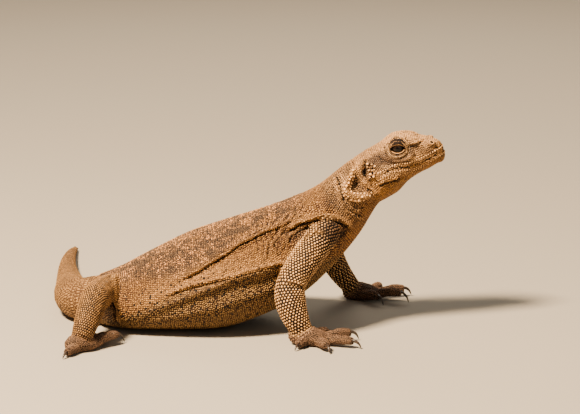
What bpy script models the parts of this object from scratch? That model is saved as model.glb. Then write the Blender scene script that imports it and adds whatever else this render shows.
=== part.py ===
"""A life-size chuckwalla, a stout desert lizard, propped on its forelegs with its head raised.

The origin is the middle of the flat where the belly rests on the floor. +X runs forward,
+Y to the animal's left and +Z up. Sizes are in millimetres until a mesh is made.
"""

import math
from typing import NamedTuple

import bmesh
import bpy
from mathutils import Matrix, Quaternion, Vector

MM = 0.001
GAP = 0.3
LEFT, RIGHT = 1, -1
SIDES = {"left": LEFT, "right": RIGHT}


class Station(NamedTuple):
    """One cross-section of the trunk, between a point of the back and one of the underside."""

    back_x: float
    back_z: float
    under_x: float
    under_z: float
    half_width: float
    widest_level: float


# The trunk from the tail's root to the nostrils. Each row is a place a keeper would name.
TRUNK = {
    "tail root": Station(-34.0, 22.8, -34.0, -0.2, 14.6, 0.48),
    "rump": Station(-29.0, 24.0, -28.6, -0.4, 23.4, 0.46),
    "hip": Station(-22.6, 26.6, -21.8, -0.8, 29.2, 0.43),
    "groin": Station(-13.5, 31.4, -12.5, -1.1, 32.6, 0.42),
    "rear flank": Station(-3.5, 36.6, -2.0, -1.1, 35.2, 0.42),
    "belly": Station(8.8, 42.6, 11.0, -1.1, 37.5, 0.42),
    "middle": Station(21.8, 47.2, 26.0, -0.2, 38.0, 0.42),
    "rear chest": Station(34.2, 51.3, 41.0, 4.4, 35.5, 0.43),
    "chest": Station(45.6, 55.2, 56.4, 11.2, 30.5, 0.44),
    "rear shoulder": Station(55.4, 59.1, 68.0, 19.6, 25.5, 0.46),
    "shoulder": Station(64.2, 62.8, 78.4, 30.2, 21.5, 0.48),
    "neck root": Station(70.9, 67.0, 87.6, 41.0, 17.5, 0.48),
    "neck": Station(77.1, 72.1, 94.2, 51.7, 14.8, 0.48),
    "front neck": Station(83.8, 77.4, 98.0, 57.6, 13.6, 0.48),
    "ear": Station(90.7, 82.2, 102.3, 60.3, 13.9, 0.46),
    "jaw": Station(97.8, 86.4, 107.4, 63.5, 13.6, 0.44),
    "eye": Station(104.8, 91.2, 111.8, 68.4, 12.0, 0.46),
    "fore eye": Station(111.5, 92.2, 117.0, 72.0, 9.9, 0.46),
    "snout": Station(117.6, 90.8, 121.8, 74.3, 7.9, 0.46),
    "nostril": Station(122.8, 88.8, 125.6, 76.6, 6.2, 0.46),
}
PLACES = list(TRUNK)
SNOUT_TIP = (128.9, 82.4)
TORSO_SPAN = ("tail root", "neck root")
NECK_SPAN = (PLACES.index("neck root"), PLACES.index("front neck") + 0.15)
SECTION_ROUNDNESS = 0.92

TORSO_RINGS = 30
NECK_RINGS = 13
HEAD_RINGS = 29
HEAD_SIDES = 34


class Fold(NamedTuple):
    """A fold of loose flank skin: (station, degrees up from the widest level, height) along it."""

    course: tuple
    groove_offset: float
    ridge_offset: float


FLANK_FOLDS = {
    "upper": Fold(
        ((3.8, 22, 0), (4.6, 26, 0.6), (5.4, 32, 1.2), (6.4, 42, 1.6), (7.5, 47, 1.6),
         (8.6, 42, 1.4), (9.6, 30, 1.2), (10.6, 20, 0.6)),
        -2.4, 2.2,
    ),
    "lower": Fold(
        ((2.8, -8, 0), (4.0, -1, 0.6), (5.5, 8, 1.2), (6.5, 11, 1.5), (7.2, 7, 1.5),
         (8.2, 2, 1.0), (9.0, -2, 0.4)),
        -2.4, 2.0,
    ),
}
FOLD_SEGMENTS = (7, 1, 4, 1, 7)

# Features of the head and neck, each at an (x, z) of the side view and set on both sides.
SKIN_RIDGES = {
    "brow": (((100.4, 86.0), (103.6, 89.0), (108.0, 90.0), (112.2, 88.6), (115.2, 87.2)), 0.9, 1.7),
    "under eye": (((101.0, 82.2), (103.6, 80.4), (107.2, 79.8), (110.8, 81.4), (113.0, 83.6)), 0.6, 1.0),
    "upper lip": (((100.8, 75.6), (107.0, 77.8), (114.5, 80.3), (121.0, 82.6), (125.0, 84.2)), 0.55, 1.0),
    "lower lip": (((101.0, 72.6), (107.8, 75.1), (115.3, 77.6), (121.6, 79.8), (125.4, 81.2)), 0.5, 1.0),
    "neck fold": (((86.0, 74.2), (84.8, 71.2), (82.9, 68.2), (82.4, 65.0), (85.3, 63.7),
                   (89.5, 63.3), (93.7, 64.4), (96.8, 65.4)), 1.3, 1.5),
}
SKIN_DENTS = {
    "lore": (((114.2, 85.4), (117.4, 86.0)), -0.8, 1.7),
    "neck hollow": (((87.4, 70.4), (89.6, 68.6)), -1.0, 2.6),
    "shoulder groove": (((77.4, 67.6), (79.2, 62.0)), -0.9, 1.3),
    "throat groove": (((93.4, 67.4), (95.8, 66.6)), -0.4, 0.8),
}
NOSTRIL = (122.0, 86.6)
NOSTRIL_RIM, NOSTRIL_RISE, NOSTRIL_RADIUS = (1.9, 1.2, 1.6), 0.9, 0.7

MOUTH_CORNER = (98.4, 71.9)
MOUTH_FRONT = (129.2, 84.0)

EYE_PLACE = (106.3, 85.4)
EYE_RADIUS = 3.8
EYE_DEPTH = 2.9
LIDS_HALF_SIZE = (5.2, 4.6, 4.5)
LID_OPENING = (3.1, 1.85)
LID_TILT = math.radians(4)

EAR_PLACE = (92.6, 75.2)
EAR_HALF_SIZE = (2.0, 2.4, 3.7)
EAR_LEAN = math.radians(-22)
EAR_SCALES = ((94.2, 78.6), (95.0, 76.9), (95.3, 75.1), (95.0, 73.3), (94.0, 71.8))
EAR_SCALE_LENGTH, EAR_SCALE_RADIUS = 2.8, 0.9

NECK_SPINES = 10
NECK_SPINE_LENGTH, NECK_SPINE_RADIUS = 1.5, 0.8


class Bone(NamedTuple):
    """One place along a limb or the tail: its middle, then half its level and half its upright size."""

    x: float
    y: float
    z: float
    level: float
    upright: float


TAIL = (
    Bone(-34.0, 0.0, 10.9, 13.2, 11.7),
    Bone(-39.4, 1.8, 10.3, 12.2, 11.0),
    Bone(-43.8, 7.2, 9.6, 11.1, 10.1),
    Bone(-46.8, 15.5, 8.8, 10.1, 9.2),
    Bone(-48.6, 27.5, 8.0, 9.1, 8.3),
    Bone(-50.6, 45.0, 6.6, 7.7, 6.9),
    Bone(-53.2, 68.0, 5.2, 6.2, 5.5),
    Bone(-55.4, 92.0, 4.1, 4.9, 4.4),
    Bone(-56.6, 115.0, 3.1, 3.9, 3.4),
    Bone(-56.4, 136.0, 2.2, 2.8, 2.5),
    Bone(-55.4, 151.0, 1.2, 1.6, 1.4),
)
TAIL_CUTS = (0, 1.6, 3.2, 5.0, 7.4, 10)
TAIL_SIDES, TAIL_RINGS_PER_BONE = 18, 2.5

LIMBS = {
    "front_right": (
        Bone(75.0, -11.0, 50.0, 8.6, 8.6),
        Bone(69.6, -21.0, 44.4, 7.6, 7.6),
        Bone(63.0, -29.4, 36.2, 7.1, 7.2),
        Bone(56.8, -36.0, 27.6, 6.9, 6.9),
        Bone(56.3, -39.6, 20.4, 7.2, 7.0),
        Bone(58.3, -42.0, 13.6, 6.6, 6.3),
        Bone(60.8, -43.2, 8.4, 5.6, 5.2),
        Bone(62.2, -43.6, 5.4, 4.4, 4.4),
    ),
    "front_left": (
        Bone(78.0, 11.0, 49.0, 8.6, 8.6),
        Bone(76.2, 21.0, 42.6, 7.4, 7.4),
        Bone(75.0, 30.0, 34.6, 6.9, 7.0),
        Bone(75.2, 37.4, 26.4, 6.4, 6.5),
        Bone(77.6, 41.2, 19.4, 5.9, 6.1),
        Bone(81.6, 43.2, 12.4, 5.2, 5.3),
        Bone(85.8, 44.4, 6.8, 4.5, 4.5),
        Bone(87.6, 44.6, 4.4, 4.2, 4.0),
    ),
    "hind_right": (
        Bone(-25.0, -7.0, 16.5, 8.8, 9.0),
        Bone(-29.8, -19.0, 18.8, 7.6, 8.2),
        Bone(-32.6, -30.5, 20.2, 6.9, 7.4),
        Bone(-34.2, -41.2, 20.0, 6.7, 7.0),
        Bone(-35.8, -48.4, 15.8, 6.3, 6.4),
        Bone(-37.8, -53.4, 10.4, 5.6, 5.6),
        Bone(-39.4, -56.0, 6.2, 4.8, 4.6),
    ),
    "hind_left": (
        Bone(-18.0, 8.0, 13.5, 9.0, 8.6),
        Bone(-10.5, 23.0, 14.2, 9.0, 8.2),
        Bone(-4.6, 36.0, 15.0, 8.1, 7.4),
        Bone(-4.2, 46.4, 14.6, 6.9, 6.6),
        Bone(-8.8, 53.4, 12.0, 6.2, 6.0),
        Bone(-14.2, 57.6, 8.6, 5.5, 5.2),
        Bone(-18.8, 60.0, 5.6, 4.6, 4.4),
    ),
}
LIMB_SIDES, LIMB_RINGS_PER_BONE = 13, 2.6
UPPER_AND_LOWER = {"front": ("upper_arm", "forearm", 3.15), "hind": ("thigh", "shank", 3.1)}


class Digit(NamedTuple):
    """A finger or toe: its turn inward from the foot's heading, its root's place, length and lift."""

    turn: float
    root_along: float
    root_inward: float
    length: float
    lift: float


HAND_DIGITS = (
    Digit(54, 0.46, 0.62, 11.5, 1.6),
    Digit(28, 0.80, 0.46, 14.0, 2.2),
    Digit(-15, 0.86, 0.0, 14.5, 1.4),
    Digit(-62, 0.74, -0.46, 11.0, 1.0),
    Digit(-106, 0.36, -0.56, 6.0, 0.4),
)
FOOT_DIGITS = (
    Digit(38, 0.52, 0.62, 8.0, 0.6),
    Digit(22, 0.78, 0.50, 10.5, 1.0),
    Digit(11, 0.88, 0.16, 12.5, 1.6),
    Digit(-3, 0.88, -0.28, 13.5, 2.8),
    Digit(-156, 0.22, -0.30, 9.0, 0.4),
)


class Foot(NamedTuple):
    """A hand or foot on the floor: its heel, its turn inward from straight ahead, and its size."""

    heel_x: float
    heel_y: float
    turn: float
    length: float
    half_width: float
    half_height: float
    rise: float
    digits: tuple


FEET = {
    "front_right": Foot(56.8, -43.2, -8, 17.5, 6.2, 4.7, 0.0, HAND_DIGITS),
    "front_left": Foot(83.0, 44.4, -4, 17.5, 6.0, 4.4, 0.8, HAND_DIGITS),
    "hind_right": Foot(-45.0, -60.2, 42, 15.4, 5.6, 4.4, 0.0, FOOT_DIGITS),
    "hind_left": Foot(-24.0, 60.8, -6, 16.0, 5.6, 4.4, 0.0, FOOT_DIGITS),
}
DIGIT_RADIUS = 2.3
DIGIT_SIDES, DIGIT_RINGS = 7, 6
CLAW_LENGTH, CLAW_RADIUS, CLAW_SIDES, CLAW_RINGS = 3.9, 1.0, 5, 4
CLAW_PROFILE = ((0.0, 1.0, 1.0), (0.42, 1.0, 0.85), (0.80, 0.62, 0.55), (0.97, 0.16, 0.16))
DIGIT_NAMES = ("1", "2", "3", "4", "5")

SKIN_TAN = (0.42, 0.25, 0.15, 1)
SKIN_HEAD = (0.47, 0.28, 0.17, 1)
SKIN_LIMB = (0.30, 0.18, 0.10, 1)
SKIN_FOOT = (0.20, 0.12, 0.08, 1)
SKIN_TAIL = (0.44, 0.28, 0.18, 1)
EYE_DARK = (0.03, 0.015, 0.008, 1)
CLAW_HORN = (0.09, 0.06, 0.045, 1)


def clear_scene():
    for item in list(bpy.data.objects):
        bpy.data.objects.remove(item)


def make_material(name, colour, roughness):
    material = bpy.data.materials.new(name)
    material.use_nodes = True
    shader = material.node_tree.nodes["Principled BSDF"]
    shader.inputs["Base Color"].default_value = colour
    shader.inputs["Roughness"].default_value = roughness
    shader.inputs["Metallic"].default_value = 0.0
    return material


def through(rows, t):
    """The value at t of a smooth curve through the rows, where row i is met at t = i."""
    last = len(rows) - 1
    i = max(0, min(int(t), last - 1))
    f = t - i
    now, after = rows[i], rows[i + 1]
    before = rows[i - 1] if i > 0 else [2 * a - b for a, b in zip(now, after)]
    beyond = rows[i + 2] if i + 2 <= last else [2 * b - a for a, b in zip(now, after)]
    return [
        0.5 * (2 * p1 + (p2 - p0) * f + (2 * p0 - 5 * p1 + 4 * p2 - p3) * f * f
               + (3 * p1 - p0 - 3 * p2 + p3) * f ** 3)
        for p0, p1, p2, p3 in zip(before, now, after, beyond)
    ]


def along(course, t):
    """Linear value at t of rows that start with their own t, held at the ends."""
    if t <= course[0][0]:
        return course[0][1:]
    for low, high in zip(course, course[1:]):
        if t <= high[0]:
            f = (t - low[0]) / (high[0] - low[0])
            return tuple(a + (b - a) * f for a, b in zip(low[1:], high[1:]))
    return course[-1][1:]


def power(value, exponent):
    return math.copysign(abs(value) ** exponent, value)


def mesh_object(name, corners, faces, material):
    mesh = bpy.data.meshes.new(name)
    mesh.from_pydata(corners, [], faces)
    mesh.materials.append(material)
    shape = bmesh.new()
    shape.from_mesh(mesh)
    bmesh.ops.recalc_face_normals(shape, faces=shape.faces)
    if shape.calc_volume(signed=True) < 0:
        bmesh.ops.reverse_faces(shape, faces=shape.faces)
    bmesh.ops.scale(shape, vec=Vector((MM, MM, MM)), verts=shape.verts)
    shape.to_mesh(mesh)
    shape.free()
    made = bpy.data.objects.new(name, mesh)
    bpy.context.scene.collection.objects.link(made)
    return made


def loft(name, rings, material, start_pole=None, end_pole=None):
    """A closed skin over rings of equal counts, capped flat or drawn to a pole at each end."""
    count = len(rings[0])
    corners = [point for ring in rings for point in ring]
    faces = []
    for r in range(len(rings) - 1):
        for k in range(count):
            after = (k + 1) % count
            a, b = r * count + k, r * count + after
            faces.append((a, b, b + count, a + count))
    ends = ((0, start_pole), ((len(rings) - 1) * count, end_pole))
    for first, pole in ends:
        if pole is None:
            faces.append(tuple(range(first, first + count)))
            continue
        corners.append(pole)
        tip = len(corners) - 1
        faces += [(first + k, first + (k + 1) % count, tip) for k in range(count)]
    return mesh_object(name, corners, faces, material)


def combine(target, others, operation):
    """Joins the others to the target, or takes them from it, in one Boolean, and removes them."""
    group = bpy.data.collections.new("pieces of " + target.name)
    for other in others:
        group.objects.link(other)
    modifier = target.modifiers.new("join", "BOOLEAN")
    modifier.operand_type = "COLLECTION"
    modifier.collection = group
    modifier.operation = operation
    modifier.solver = "EXACT"
    graph = bpy.context.evaluated_depsgraph_get()
    joined = bpy.data.meshes.new_from_object(target.evaluated_get(graph))
    target.modifiers.clear()
    old = target.data
    target.data = joined
    bpy.data.meshes.remove(old)
    bpy.data.collections.remove(group)
    for other in others:
        mesh = other.data
        bpy.data.objects.remove(other)
        bpy.data.meshes.remove(mesh)
    keep_largest(target)
    return target


def keep_largest(target):
    """Keeps the closed surface with the largest box, which drops scraps and fills sealed hollows."""
    shape = bmesh.new()
    shape.from_mesh(target.data)
    bmesh.ops.remove_doubles(shape, verts=shape.verts, dist=1e-3 * MM)
    left = set(shape.verts)
    surfaces = []
    while left:
        front = [left.pop()]
        surface = set(front)
        while front:
            for edge in front.pop().link_edges:
                for end in edge.verts:
                    if end in left:
                        left.remove(end)
                        surface.add(end)
                        front.append(end)
        surfaces.append(surface)

    def spread(surface):
        return sum(max(v.co[i] for v in surface) - min(v.co[i] for v in surface) for i in range(3))

    largest = max(surfaces, key=spread)
    bmesh.ops.delete(shape, geom=[v for v in shape.verts if v not in largest], context="VERTS")
    shape.to_mesh(target.data)
    shape.free()


def box(name, low, high, material):
    xs, ys, zs = zip(low, high)
    corners = [(x, y, z) for x in xs for y in ys for z in zs]
    faces = [(0, 1, 3, 2), (4, 6, 7, 5), (0, 4, 5, 1), (2, 3, 7, 6), (0, 2, 6, 4), (1, 5, 7, 3)]
    return mesh_object(name, corners, faces, material)


def floor_block(material):
    """All that lies below the floor, so that what is cut by it rests flat."""
    return box("below the floor", (-200, -200, -60), (300, 300, 0), material)


def trunk_section(t):
    """Middle, up direction, height above and depth below the widest level, and half width."""
    back_x, back_z, under_x, under_z, half_width, level = through(list(TRUNK.values()), t)
    under = Vector((under_x, 0, under_z))
    up = Vector((back_x, 0, back_z)) - under
    depth = up.length
    up.normalize()
    return under + up * depth * level, up, depth * (1 - level), depth * level, half_width


def smooth_point(t, angle, side):
    """Point and outward direction of the plain trunk, angle up from the widest level."""
    middle, up, above, below, half_width = trunk_section(t)
    high = above if angle > 0 else below
    rise = power(math.sin(angle), SECTION_ROUNDNESS) * high
    reach = power(math.cos(angle), SECTION_ROUNDNESS) * half_width
    outward = up * math.sin(angle) / high + Vector((0, side, 0)) * math.cos(angle) / half_width
    return middle + up * rise + Vector((0, side * reach, 0)), outward.normalized()


def side_point(x, z, side):
    """Where the line across the animal at (x, z) leaves the plain trunk on that side."""
    low, high = 0.0, len(PLACES) - 1.0
    for _ in range(40):
        t = (low + high) / 2
        middle, up, above, below, half_width = trunk_section(t)
        ahead = Vector((up.z, 0, -up.x))
        if (Vector((x, 0, z)) - middle).dot(ahead) > 0:
            low = t
        else:
            high = t
    height = (Vector((x, 0, z)) - middle).dot(up)
    share = max(-1.0, min(1.0, height / (above if height > 0 else below)))
    angle = math.asin(power(share, 1 / SECTION_ROUNDNESS))
    return smooth_point(t, angle, side)


def ridge_lines():
    """Every ridge and dent of the head and neck as (points, height, spread), on both sides."""
    found = []
    for line, height, spread in (*SKIN_RIDGES.values(), *SKIN_DENTS.values()):
        for side in SIDES.values():
            found.append(([side_point(x, z, side)[0] for x, z in line], height, spread))
    return found


def distance_to(line, point):
    nearest = math.inf
    for a, b in zip(line, line[1:]):
        span = b - a
        share = max(0.0, min(1.0, (point - a).dot(span) / span.length_squared))
        nearest = min(nearest, (a + span * share - point).length)
    return nearest


def trunk_point(t, angle, side, ridges, grow):
    point, outward = smooth_point(t, angle, side)
    rise = grow
    for line, height, spread in ridges:
        far = distance_to(line, point)
        if far < 3 * spread:
            rise += height * math.exp(-((far / spread) ** 2))
    return point + outward * rise


def fold_angles(t):
    """Angles of one side of a torso ring, with lines along each fold's groove and ridge."""
    half_width = trunk_section(t)[4]
    anchors = [(-90.0, 0.0)]
    for name in ("lower", "upper"):
        fold = FLANK_FOLDS[name]
        degrees, height = along(fold.course, t)
        per_mm = math.degrees(1 / half_width)
        anchors.append((degrees + fold.groove_offset * per_mm, -height))
        anchors.append((degrees + fold.ridge_offset * per_mm, height))
    anchors.append((90.0, 0.0))
    angles = []
    for (a, rise_a), (b, rise_b), parts in zip(anchors, anchors[1:], FOLD_SEGMENTS):
        for k in range(parts):
            rise = rise_a if k == 0 else 0.0
            angles.append((math.radians(a + (b - a) * k / parts), rise))
    return angles + [(math.radians(90), 0.0)]


def torso_ring(t, grow):
    rows = fold_angles(t)
    ring = []
    for side, ordered in ((RIGHT, rows), (LEFT, rows[::-1][1:-1])):
        for angle, rise in ordered:
            point, outward = smooth_point(t, angle, side)
            ring.append(point + outward * (rise + grow))
    return ring


def round_ring(t, sides, ridges, grow):
    ring = []
    for k in range(sides):
        turn = 2 * math.pi * (k + 0.5) / sides - math.pi / 2
        side = LEFT if math.cos(turn) > 0 else RIGHT
        angle = math.asin(math.sin(turn))
        ring.append(trunk_point(t, angle, side, ridges, grow))
    return ring


def spaced(low, high, count):
    return [low + (high - low) * k / (count - 1) for k in range(count)]


def torso_shape(name, material, grow=0.0):
    """The body from the tail's root to the neck's root, with its flank folds."""
    low, high = (float(PLACES.index(place)) for place in TORSO_SPAN)
    low += station_step(low) * (GAP / 2 - grow)
    high -= station_step(high) * (GAP / 2 - grow)
    rings = [torso_ring(t, grow) for t in spaced(low, high, TORSO_RINGS)]
    return loft(name, rings, material)


def station_step(t):
    """Stations per millimetre at t, measured along the middle of the trunk."""
    here, there = trunk_section(t)[0], trunk_section(t + 0.1)[0]
    return 0.1 / (there - here).length


def neck_shape(name, material, ridges, grow=0.0):
    low, high = NECK_SPAN
    low += station_step(low) * (GAP / 2 - grow)
    high -= station_step(high) * (GAP / 2 - grow)
    rings = [round_ring(t, HEAD_SIDES, ridges, grow) for t in spaced(low, high, NECK_RINGS)]
    return loft(name, rings, material)


def snout_end(ridges, grow):
    """Rings that round off the snout from the nostril station to its tip, and the tip."""
    last = len(PLACES) - 1.0
    middle = trunk_section(last)[0]
    tip = Vector((SNOUT_TIP[0], 0, SNOUT_TIP[1]))
    base = round_ring(last, HEAD_SIDES, ridges, grow)
    rings = []
    for share in (0.28, 0.52, 0.74, 0.91):
        turn = share * math.pi / 2
        shift = (tip - middle) * math.sin(turn)
        shrink = math.cos(turn) ** 0.8
        rings.append([middle + shift + (p - middle) * shrink for p in base])
    return rings, tip


def head_shape(name, material, ridges, grow=0.0):
    low = NECK_SPAN[1] + station_step(NECK_SPAN[1]) * GAP / 2
    high = len(PLACES) - 1.0
    rings = [round_ring(t, HEAD_SIDES, ridges, grow) for t in spaced(low, high, HEAD_RINGS)]
    end, tip = snout_end(ridges, grow)
    return loft(name, rings + end, material, end_pole=tip)


def ball(name, middle, half_size, turn, material, segments=16, rings=10):
    """An ellipsoid, turned about the lateral axis."""
    corners, faces = [], []
    spin = Matrix.Rotation(turn, 3, "Y")
    for r in range(1, rings):
        down = math.pi * r / rings
        for k in range(segments):
            round_ = 2 * math.pi * k / segments
            unit = Vector((math.sin(down) * math.cos(round_), math.cos(down),
                           math.sin(down) * math.sin(round_)))
            corners.append(middle + spin @ Vector(u * h for u, h in zip(unit, half_size)))
    for r in range(rings - 2):
        for k in range(segments):
            a, b = r * segments + k, r * segments + (k + 1) % segments
            faces.append((a, b, b + segments, a + segments))
    for first, way in ((0, 1), ((rings - 2) * segments, -1)):
        corners.append(middle + Vector((0, way * half_size[1], 0)))
        tip = len(corners) - 1
        faces += [(first + k, first + (k + 1) % segments, tip) for k in range(segments)]
    return mesh_object(name, corners, faces, material)


def eye_middle(side):
    place, _ = side_point(*EYE_PLACE, side)
    return place - Vector((0, side * EYE_DEPTH, 0))


def lid_opening(name, side, material):
    """The almond between the lids, drawn out sideways past the skin."""
    middle = eye_middle(side)
    spin = Matrix.Rotation(-LID_TILT, 3, "Y")
    half_length, half_height = LID_OPENING
    count = 14
    rings = []
    for reach in (0.5, 9.0):
        ring = []
        for k in range(count):
            turn = 2 * math.pi * k / count
            height = math.sin(turn) * abs(math.sin(turn)) ** 0.3
            place = Vector((half_length * math.cos(turn), side * reach, half_height * height))
            ring.append(middle + spin @ place)
        rings.append(ring)
    return loft(name, rings, material)


def spine(name, root, direction, length, radius, material, sides=5):
    """A pointed scale whose root is sunk below the skin."""
    direction = direction.normalized()
    turn = direction.to_track_quat("Z", "Y")
    corners = []
    for height, size in ((-0.9, 0.9), (0.25, 1.0)):
        for k in range(sides):
            angle = 2 * math.pi * k / sides
            corners.append(root + turn @ Vector((math.cos(angle) * radius * size,
                                                 math.sin(angle) * radius * size,
                                                 height * radius)))
    corners.append(root + direction * length)
    tip = 2 * sides
    faces = [tuple(range(sides))]
    for k in range(sides):
        after = (k + 1) % sides
        faces.append((k, after, after + sides, k + sides))
        faces.append((k + sides, after + sides, tip))
    return mesh_object(name, corners, faces, material)


def ear_scales(side, material):
    """Long scales at the ear's front rim, which point back over the opening."""
    made = []
    for k, (x, z) in enumerate(EAR_SCALES):
        place, outward = side_point(x, z, side)
        made.append(spine(f"ear scale {side} {k}", place, outward * 0.7 + Vector((-1, 0, -0.35)),
                          EAR_SCALE_LENGTH, EAR_SCALE_RADIUS, material))
    return made


def neck_spines(side, material):
    """A row of raised scales along the crest of the neck fold."""
    line, height, _ = SKIN_RIDGES["neck fold"]
    made = []
    for k in range(NECK_SPINES):
        x, z = through(line, 0.75 + (len(line) - 3.4) * k / (NECK_SPINES - 1))
        place, outward = side_point(x, z, side)
        made.append(spine(f"neck spine {side} {k}", place + outward * height * 0.8,
                          outward + Vector((-0.4, 0, 0)), NECK_SPINE_LENGTH,
                          NECK_SPINE_RADIUS, material))
    return made


def mouth_block(name, slack, material):
    """The space in front of the mouth's corner and below its line, which holds the lower jaw."""
    corner = Vector((MOUTH_CORNER[0], 0, MOUTH_CORNER[1]))
    line = (Vector((MOUTH_FRONT[0], 0, MOUTH_FRONT[1])) - corner).normalized()
    down = Vector((line.z, 0, -line.x))
    throat = (down * 0.80 - line * 0.60).normalized()
    start = corner + down * slack - line * slack / 2
    reach, half_width = 45.0, 30.0
    flat = [start, start + line * reach, start + line * reach + down * reach,
            start + throat * reach]
    corners = [p + Vector((0, side * half_width, 0)) for side in (RIGHT, LEFT) for p in flat]
    faces = [(0, 1, 2, 3), (7, 6, 5, 4)]
    faces += [(k, (k + 1) % 4, (k + 1) % 4 + 4, k + 4) for k in range(4)]
    return mesh_object(name, corners, faces, material)


def build_head(materials, ridges):
    """Upper head with lids, ear cups and nostrils, and the lower jaw below the line of the mouth."""
    skin = materials["head"]
    head = head_shape("head", skin, ridges)
    extras, ear_holes, holes = [], [], []
    for side in SIDES.values():
        nostril, outward = side_point(*NOSTRIL, side)
        extras.append(ball(f"lids {side}", eye_middle(side), LIDS_HALF_SIZE, 0, skin, 18, 11))
        extras.append(ball(f"nostril rim {side}", nostril, NOSTRIL_RIM, 0, skin, 10, 7))
        extras += ear_scales(side, skin)
        ear = side_point(*EAR_PLACE, side)[0]
        ear_holes.append(ball(f"ear cup {side}", ear, EAR_HALF_SIZE, EAR_LEAN, skin, 12, 8))
        size = (NOSTRIL_RADIUS, NOSTRIL_RADIUS * 1.6, NOSTRIL_RADIUS)
        holes.append(ball(f"nostril {side}", nostril + outward * NOSTRIL_RISE, size, 0, skin, 8, 6))
        holes.append(ball(f"eye hole {side}", eye_middle(side), (EYE_RADIUS + GAP,) * 3, 0, skin,
                          18, 11))
        holes.append(lid_opening(f"opening {side}", side, skin))
    holes.append(mouth_block("jaw space", 0, skin))
    combine(head, ear_holes, "DIFFERENCE")
    combine(head, extras, "UNION")
    combine(head, holes, "DIFFERENCE")
    jaw = head_shape("jaw", materials["jaw"], ridges)
    combine(jaw, [mouth_block("jaw block", GAP, skin)], "INTERSECT")
    for name, side in SIDES.items():
        ball(f"eye_{name}", eye_middle(side), (EYE_RADIUS,) * 3, 0, materials["eye"], 18, 11)


def build_trunk(materials, ridges):
    torso = torso_shape("torso", materials["torso"])
    combine(torso, [floor_block(materials["torso"])], "DIFFERENCE")
    neck = neck_shape("neck", materials["neck"], ridges)
    spines = neck_spines(LEFT, materials["neck"]) + neck_spines(RIGHT, materials["neck"])
    combine(neck, spines, "UNION")


class Frame(NamedTuple):
    middle: Vector
    ahead: Vector
    first: Vector
    size: tuple


def frames_along(rows, times):
    """Middles, directions and untwisted side vectors of a limb or tail at the given times."""
    fine = 40
    last = len(rows) - 1
    steps = [last * k / (fine * last) for k in range(fine * last + 1)]
    marks = sorted(set(steps) | set(times))

    def middle(t):
        return Vector(through(rows, t)[:3])

    frames = {}
    first = None
    for t in marks:
        ahead = (middle(min(t + 0.02, last)) - middle(max(t - 0.02, 0))).normalized()
        if first is None:
            first = ahead.orthogonal().normalized()
        else:
            first = (first - ahead * first.dot(ahead)).normalized()
        frames[t] = Frame(middle(t), ahead, first.copy(), tuple(through(rows, t)[3:5]))
    return [frames[t] for t in times]


def oval_ring(frame, sides, grow=0.0):
    """An oval across the limb, sized level and upright."""
    level = frame.ahead.cross(Vector((0, 0, 1)))
    level = level.normalized() if level.length > 0.05 else frame.first
    upright = level.cross(frame.ahead)
    second = frame.ahead.cross(frame.first)
    wide, high = (size + grow for size in frame.size)
    ring = []
    for k in range(sides):
        turn = 2 * math.pi * k / sides
        way = frame.first * math.cos(turn) + second * math.sin(turn)
        reach = 1 / math.hypot(way.dot(level) / wide, way.dot(upright) / high)
        ring.append(frame.middle + way * reach)
    return ring


def tube_frames(rows, low, high, per_bone, start_gap, end_gap):
    """Frames from low to high, the first and last drawn in by their gaps along the tube."""
    count = max(4, round((high - low) * per_bone) + 1)
    frames = frames_along(rows, spaced(low, high, count))
    first, last = frames[0], frames[-1]
    frames[0] = first._replace(middle=first.middle + first.ahead * start_gap)
    frames[-1] = last._replace(middle=last.middle - last.ahead * end_gap)
    return frames


def build_tail(materials):
    skin = materials["tail"]
    for k, (low, high) in enumerate(zip(TAIL_CUTS, TAIL_CUTS[1:])):
        last_piece = high == TAIL_CUTS[-1]
        start_gap = GAP / 2 if k else -1.0
        end_gap = 0 if last_piece else GAP / 2
        frames = tube_frames(TAIL, low, high, TAIL_RINGS_PER_BONE, start_gap, end_gap)
        rings = [oval_ring(frame, TAIL_SIDES) for frame in frames]
        tip = frames[-1].middle + frames[-1].ahead * 1.6 if last_piece else None
        piece = loft(f"tail_{k + 1}", rings, skin, end_pole=tip)
        if k < 2:
            combine(piece, [torso_shape("torso space", skin, GAP)], "DIFFERENCE")
        combine(piece, [floor_block(skin)], "DIFFERENCE")


def tail_root_shape(name, material, grow):
    frames = tube_frames(TAIL, TAIL_CUTS[0], TAIL_CUTS[1], TAIL_RINGS_PER_BONE, -grow, -grow)
    return loft(name, [oval_ring(frame, TAIL_SIDES, grow) for frame in frames], material)


def inward_turn(degrees, side):
    """Level direction at so many degrees inward from straight ahead."""
    angle = math.radians(degrees) * (-side)
    return Vector((math.cos(angle), math.sin(angle), 0))


def palm_rows(foot, side):
    ahead = inward_turn(foot.turn, side)
    heel = Vector((foot.heel_x, foot.heel_y, 0))
    profile = (
        (0.03, 0.34, 0.55), (0.12, 0.60, 0.86), (0.30, 0.82, 1.0), (0.52, 0.96, 0.95),
        (0.74, 1.0, 0.78), (0.90, 0.84, 0.62), (0.98, 0.5, 0.42),
    )
    rows = []
    for share, wide, high in profile:
        place = heel + ahead * foot.length * share
        half_height = foot.half_height * high
        lift = half_height - 0.5 + foot.rise * max(0.0, share - 0.3)
        rows.append(Bone(place.x, place.y, lift, foot.half_width * wide, half_height))
    return rows


def palm_shape(name, foot, side, material, grow=0.0):
    rows = palm_rows(foot, side)
    frames = frames_along(rows, spaced(0, len(rows) - 1, 9))
    rings = [oval_ring(frame, 12, grow) for frame in frames]
    back = frames[0].middle - frames[0].ahead * (0.8 + grow)
    front = frames[-1].middle + frames[-1].ahead * (0.8 + grow)
    return loft(name, rings, material, start_pole=back, end_pole=front)


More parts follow.
